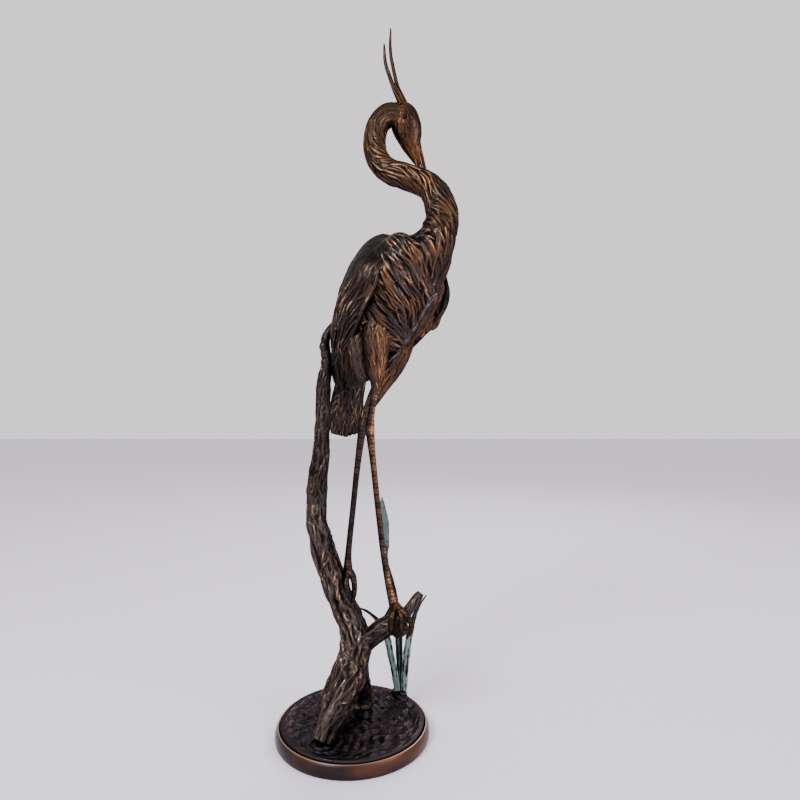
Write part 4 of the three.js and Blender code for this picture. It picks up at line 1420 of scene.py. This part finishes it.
def wood(name, rows, count, sides, seed):
    """Weathered wood under short wavy strips of bark. Grooves run along it, winding slowly, straying
    and fading with an unevenness that is three times longer along the wood than across it: each is
    a cosine of the angle to the third power. Knots are bell curves."""
    shares = evenly(count)
    skin = Skin(rings(rows, shares, sides))
    walked = skin.comb()
    radius = through(rows, shares)[:, 3:4]
    thick = np.clip((radius / WOOD_RADIUS) ** 1.6, *RELIEF_RANGE)
    angle = angles(sides)[None, :]
    swing = BARK_SWING * unevenness(skin.points, BARK_SWING_LENGTH, seed + 5)[..., None]
    length = BARK_LENGTH + BARK_GROWTH * thick
    places = skin.scattered(length, BARK_WIDTH, 2.2, seed)
    skin.lay(places, LOCK, unit(skin.down) + swing * unit(skin.over), length, BARK_WIDTH,
             BARK_HEIGHT * thick, seed + 4, wander=0.16, wave=0.45)
    grain = joined(walked[:, None] / GRAIN_STRETCH, radius * np.cos(angle), radius * np.sin(angle))
    for number, depth, stray in FLUTES:
        turn = number * (angle + FLUTE_TWIST * walked[:, None])
        turn = turn + stray * unevenness(grain, FLUTE_STRAY_LENGTH / number ** 0.5, seed + number)
        shown = smoothstep(unevenness(grain, FLUTE_FADE_LENGTH, seed + 2 * number), -0.7, 0.5)
        skin.height -= depth * thick * shown * (raised_cosine(turn) ** 3 - 0.25)
    skin.height += thick * WOOD_SWELL * unevenness(skin.points, WOOD_SWELL_LENGTH, seed)
    skin.height += thick * GRAIN_HEIGHT * unevenness(grain, GRAIN_WIDTH, seed + 3)
    skin.find_ridges(size=0.0034, contrast=0.22)
    for centre, size, depth in KNOTS:
        away = np.linalg.norm(skin.points - np.array(centre), axis=-1) / size
        lip = KNOT_LIP * bell(away - KNOT_LIP_PLACE, KNOT_LIP_WIDTH)
        skin.height += depth * (lip - np.exp(-away ** 2 * KNOT_STEEPNESS))
        skin.dull(bell(away, 1), by=50 * depth)
    skin.dull(smoothstep(skin.points[..., 2], *DULL_WOOD), by=0.14)
    skin_piece(name, skin, BARK_BRONZE, ["trunk"])


def tree():
    """The trunk, its branch with two stubs, and its two roots."""
    wood("trunk_stem", TRUNK, 460, 106, seed=61)
    wood("branch", BRANCH, 90, 90, seed=63)
    wood("stub_raised", RAISED_STUB, 50, 48, seed=65)
    wood("stub_front", FRONT_STUB, 44, 70, seed=67)
    wood("root_right", RIGHT_ROOT, 90, 80, seed=69)
    wood("root_left", LEFT_ROOT, 90, 80, seed=71)


# A reed's grid, the width of its rib as a share of the blade, how many veins it has, and the heights
# of rib, veins and unevenness
REED_RINGS = 120
REED_POINTS = 32
RIB_WIDTH = 0.16
REED_VEINS = 9
RIB_HEIGHT = 0.0009
VEIN_HEIGHT = 0.0003
REED_SINK = 0.0002
REED_UNEVENNESS = 0.0006


def reeds():
    """Reed leaves, crusted with verdigris: flat blades with a middle rib, a bell curve of the place
    across, and fine veins, a cosine of it. Both fade at the ends by the root of a sine."""
    shares = evenly(REED_RINGS)
    across = np.cos(angles(REED_POINTS))[None, :]
    rib = bell(across, RIB_WIDTH)
    veins = raised_cosine(REED_VEINS * np.pi * across)
    fade = np.sin(np.pi * np.clip(shares * 0.96 + 0.04, 0, 1))[:, None] ** 0.5
    for name, rows in REEDS.items():
        skin = Skin(rings(rows, shares, REED_POINTS, REED_SIDE))
        skin.height = (RIB_HEIGHT * rib + VEIN_HEIGHT * veins - REED_SINK) * fade
        skin.height = skin.height + REED_UNEVENNESS * unevenness(skin.points, 0.02, 81)
        skin.ridge = np.broadcast_to(np.maximum(rib, 0.4 * veins), skin.shape).copy()
        # The tall blade takes the darker verdigris as painted shade.
        finish = DARK_REED if name == "reed_tall" else GREEN_REED
        skin_piece(name + "_leaf", skin, finish, [name])


# Pool and plinth


# Rings of ripples: centre, height, spacing, how far they reach, and how many arms their spiral has
RIPPLES = [((-0.048, -0.084), -0.0030, 0.018, 0.050, 0), ((0.052, -0.074), 0.0024, 0.020, 0.045, 1),
           ((0.085, 0.000), 0.0020, 0.022, 0.045, 2), ((-0.095, 0.010), 0.0022, 0.021, 0.035, 1)]
# How far the ripples are bent, how much the water also swirls round the whole pool, how wide the
# still middle of each swirl is, and how much the pool's edge is rounded
RIPPLE_BEND = 0.009
POOL_SWIRL = 0.2
SWIRL_MIDDLE = 0.004
POOL_EDGE_ROUND = 0.0008
# Where the mud begins, towards the back
MUD_BEGINS = (0.0, 0.07)
MUD_SIDE = np.array([-1.0, 1.0, 0.0])
# The plinth's outline, from the middle of its underside out, up and in to the pool's seat: radius
# and height
PLINTH_PROFILE = [(0.02, 0.0), (0.1505, 0.0), (0.1522, 0.002), (PLINTH_RADIUS, 0.008), (0.1527, 0.013),
                  (0.1515, 0.018), (0.1495, 0.0225), (0.1475, 0.0254), (0.1460, 0.0259), (0.1446, 0.0248),
                  (SEAT_RADIUS, 0.0232), (SEAT_RADIUS, PLINTH_HEIGHT - SEAT_DEPTH),
                  (0.02, PLINTH_HEIGHT - SEAT_DEPTH)]
# The painted highlight along the plinth's rounded top edge: how bright, and how wide
EDGE_SHINE = 0.70
EDGE_WIDTH = 0.0008


def pool_height(x, y):
    """The water's height: the level, plus rings of ripples that die away from each centre and are
    bent by soft unevenness, plus lumps of mud at the back, inside a smooth raised rim."""
    from_rim = (POOL_RADIUS - np.hypot(x, y)) / POOL_RIM_WIDTH
    rim = np.clip(1.4 - from_rim, 0, 1) * (POOL_RIM_HEIGHT - POOL_WATER_HEIGHT)
    flat = joined(x, y, 0.0)
    bent = unevenness(flat, 0.050, 91)
    water = 0.0011 * unevenness(flat, 0.024, 92)
    for (cx, cy), height, spacing, reach, arms in RIPPLES:
        away = np.hypot(x - cx, y - cy) + RIPPLE_BEND * bent
        turns = away / spacing + arms * np.arctan2(y - cy, x - cx) / (2 * np.pi)
        water = water + height * np.cos(2 * np.pi * turns) * np.exp(-away / reach)
    mud = 0.0022 * unevenness(flat, 0.016, 93) + 0.0012 * unevenness(flat, 0.007, 94)
    mud = mud * smoothstep(y, *MUD_BEGINS)
    inside = smoothstep(from_rim, 0.35, 1.0)
    return POOL_WATER_HEIGHT + rim + inside * (water + mud)


def pool_swirl(x, y):
    """The way that the water runs: round each centre of ripples, by e to the power of minus the
    distance over the ripples' reach, and slowly round the whole pool."""
    swirl = np.zeros(x.shape + (3,))
    for (cx, cy), _, _, reach, _ in RIPPLES:
        away = np.hypot(x - cx, y - cy)
        pull = np.exp(-away / reach) / np.maximum(away, SWIRL_MIDDLE)
        swirl += pull[..., None] * joined(-(y - cy), x - cx, 0.0)
    return unit(swirl + POOL_SWIRL * joined(-y, x, 0.0) / POOL_RADIUS)


def pool():
    """The pool's disc, rings from its middle out to its edge and then down to the seat, under
    streaks that run with the water, and the clump of mud that the reeds grow from."""
    seat = PLINTH_HEIGHT - SEAT_DEPTH + TOUCHING_GAP
    radius = np.concatenate([np.linspace(0.0008, POOL_RADIUS - 0.001, num=112), [POOL_RADIUS, POOL_RADIUS]])
    x, y = turned(radius, -angles(264))
    z = pool_height(x, y)
    z[-2] -= POOL_EDGE_ROUND
    z[-1] = seat
    skin = Skin(joined(x, y, z))
    skin.cover(LOCK, pool_swirl(x, y), length=0.040, width=0.0050, lift=0.0016, times=1.6, seed=97,
               wander=0.15, wave=0.30)
    level = z - POOL_WATER_HEIGHT + 1.5 * skin.height
    rim = smoothstep(radius, POOL_RADIUS - 0.7 * POOL_RIM_WIDTH, POOL_RADIUS - 0.3 * POOL_RIM_WIDTH)[:, None]
    skin.height *= (1 - rim) * (radius > 0.02)[:, None]
    skin.ridge = np.clip(0.36 + level / 0.006, 0, 0.85) * (1 - rim) + 0.65 * rim
    skin_piece("pool_water", skin, POOL_BRONZE, ["pool"],
               [[0, 0, z[0].mean()], [0, 0, seat]])
    clump = Skin(rings(CLUMP, evenly(30), 60, MUD_SIDE))
    lumps = unevenness(clump.points, 0.012, 95)
    clump.height = 0.0020 * lumps
    clump.ridge = 0.5 + 0.4 * lumps
    skin_piece("mud_clump", clump, POOL_BRONZE, ["pool"])


def plinth():
    """The plinth: a profile of radius and height turned once round, with a rounded top edge and a
    seat for the pool. The edge has a painted highlight, a bell curve of the height."""
    radius, height = np.array(PLINTH_PROFILE).T
    shares = evenly(61)
    along = evenly(len(radius))
    radius, height = np.interp(shares, along, radius), np.interp(shares, along, height)
    x, y = turned(radius, angles(160))
    skin = Skin(joined(x, y, height[:, None]))
    shine = EDGE_SHINE * bell(height - PLINTH_HEIGHT, EDGE_WIDTH)
    skin.ridge = np.broadcast_to(shine[:, None], x.shape).copy()
    skin_piece("plinth_cast", skin, PLINTH_BRONZE, ["plinth"],
               [[0, 0, 0], [0, 0, PLINTH_HEIGHT - SEAT_DEPTH]])


# Stage: floor, lights and camera


FLOOR_REACH = 9
# Each lamp's name, place, size and power, and the place that all of them shine at
LAMPS = [("key_lamp", (-1.6, -2.0, 2.6), 1.1, 110.0), ("fill_lamp", (2.4, -1.6, 1.8), 1.2, 32.0),
         ("back_lamp", (0.9, 2.4, 2.4), 1.5, 45.0)]
LIT_PLACE = (0.07, 0.0, 0.8)
SKY_COLOUR = (1.0, 0.94, 0.97)
SKY_STRENGTH = 1.2
# The camera's place, the width of its sensor in millimetres, and its focal length as a share of that
CAMERA_PLACE = (0.0945, -1.190, 0.667)
SENSOR_WIDTH = 36.0
FOCAL_SHARE = 594.0 / 800.0


def stage():
    """A plain pale floor, three soft lamps and an even pale sky."""
    corners = [(x * FLOOR_REACH, y * FLOOR_REACH, 0) for x, y in ((-1, -1), (1, -1), (1, 1), (-1, 1))]
    mesh = bpy.data.meshes.new("floor")
    mesh.from_pydata(corners, [], [(0, 1, 2, 3)])
    finish = Finish("floor_finish")
    mesh.materials.append(finish.shade(base_color=opaque((0.72, 0.69, 0.78)), roughness=0.8))
    floor = bpy.data.objects.new("floor", mesh)
    bpy.context.collection.objects.link(floor)
    world = bpy.data.worlds.new("sky")
    world.use_nodes = True
    background = world.node_tree.nodes["Background"]
    background.inputs["Color"].default_value = opaque(SKY_COLOUR)
    background.inputs["Strength"].default_value = SKY_STRENGTH
    bpy.context.scene.world = world
    for name, place, size, power in LAMPS:
        light = bpy.data.lights.new(name, "AREA")
        light.size = size
        light.energy = power
        lamp = bpy.data.objects.new(name, light)
        lamp.location = place
        aim = Vector(LIT_PLACE) - lamp.location
        lamp.rotation_euler = aim.to_track_quat("-Z", "Y").to_euler()
        bpy.context.collection.objects.link(lamp)


def camera():
    """A level camera in front of the statue, at the height of its thighs."""
    lens = bpy.data.cameras.new("camera")
    lens.sensor_width = SENSOR_WIDTH
    lens.lens = FOCAL_SHARE * SENSOR_WIDTH
    view = bpy.data.objects.new("camera", lens)
    view.location = CAMERA_PLACE
    view.rotation_euler = (np.pi / 2, 0, 0)
    bpy.context.collection.objects.link(view)
    bpy.context.scene.camera = view


stage()
camera()
breast()
neck()
head()
eyes()
bill()
crest()
wing("right", 250, 130, WING_BRONZE)
# The far wing takes the darker bronze as painted shade.
wing("left", 160, 90, DARK_BRONZE)
loose_feathers()
tail()
legs()
tree()
reeds()
pool()
plinth()
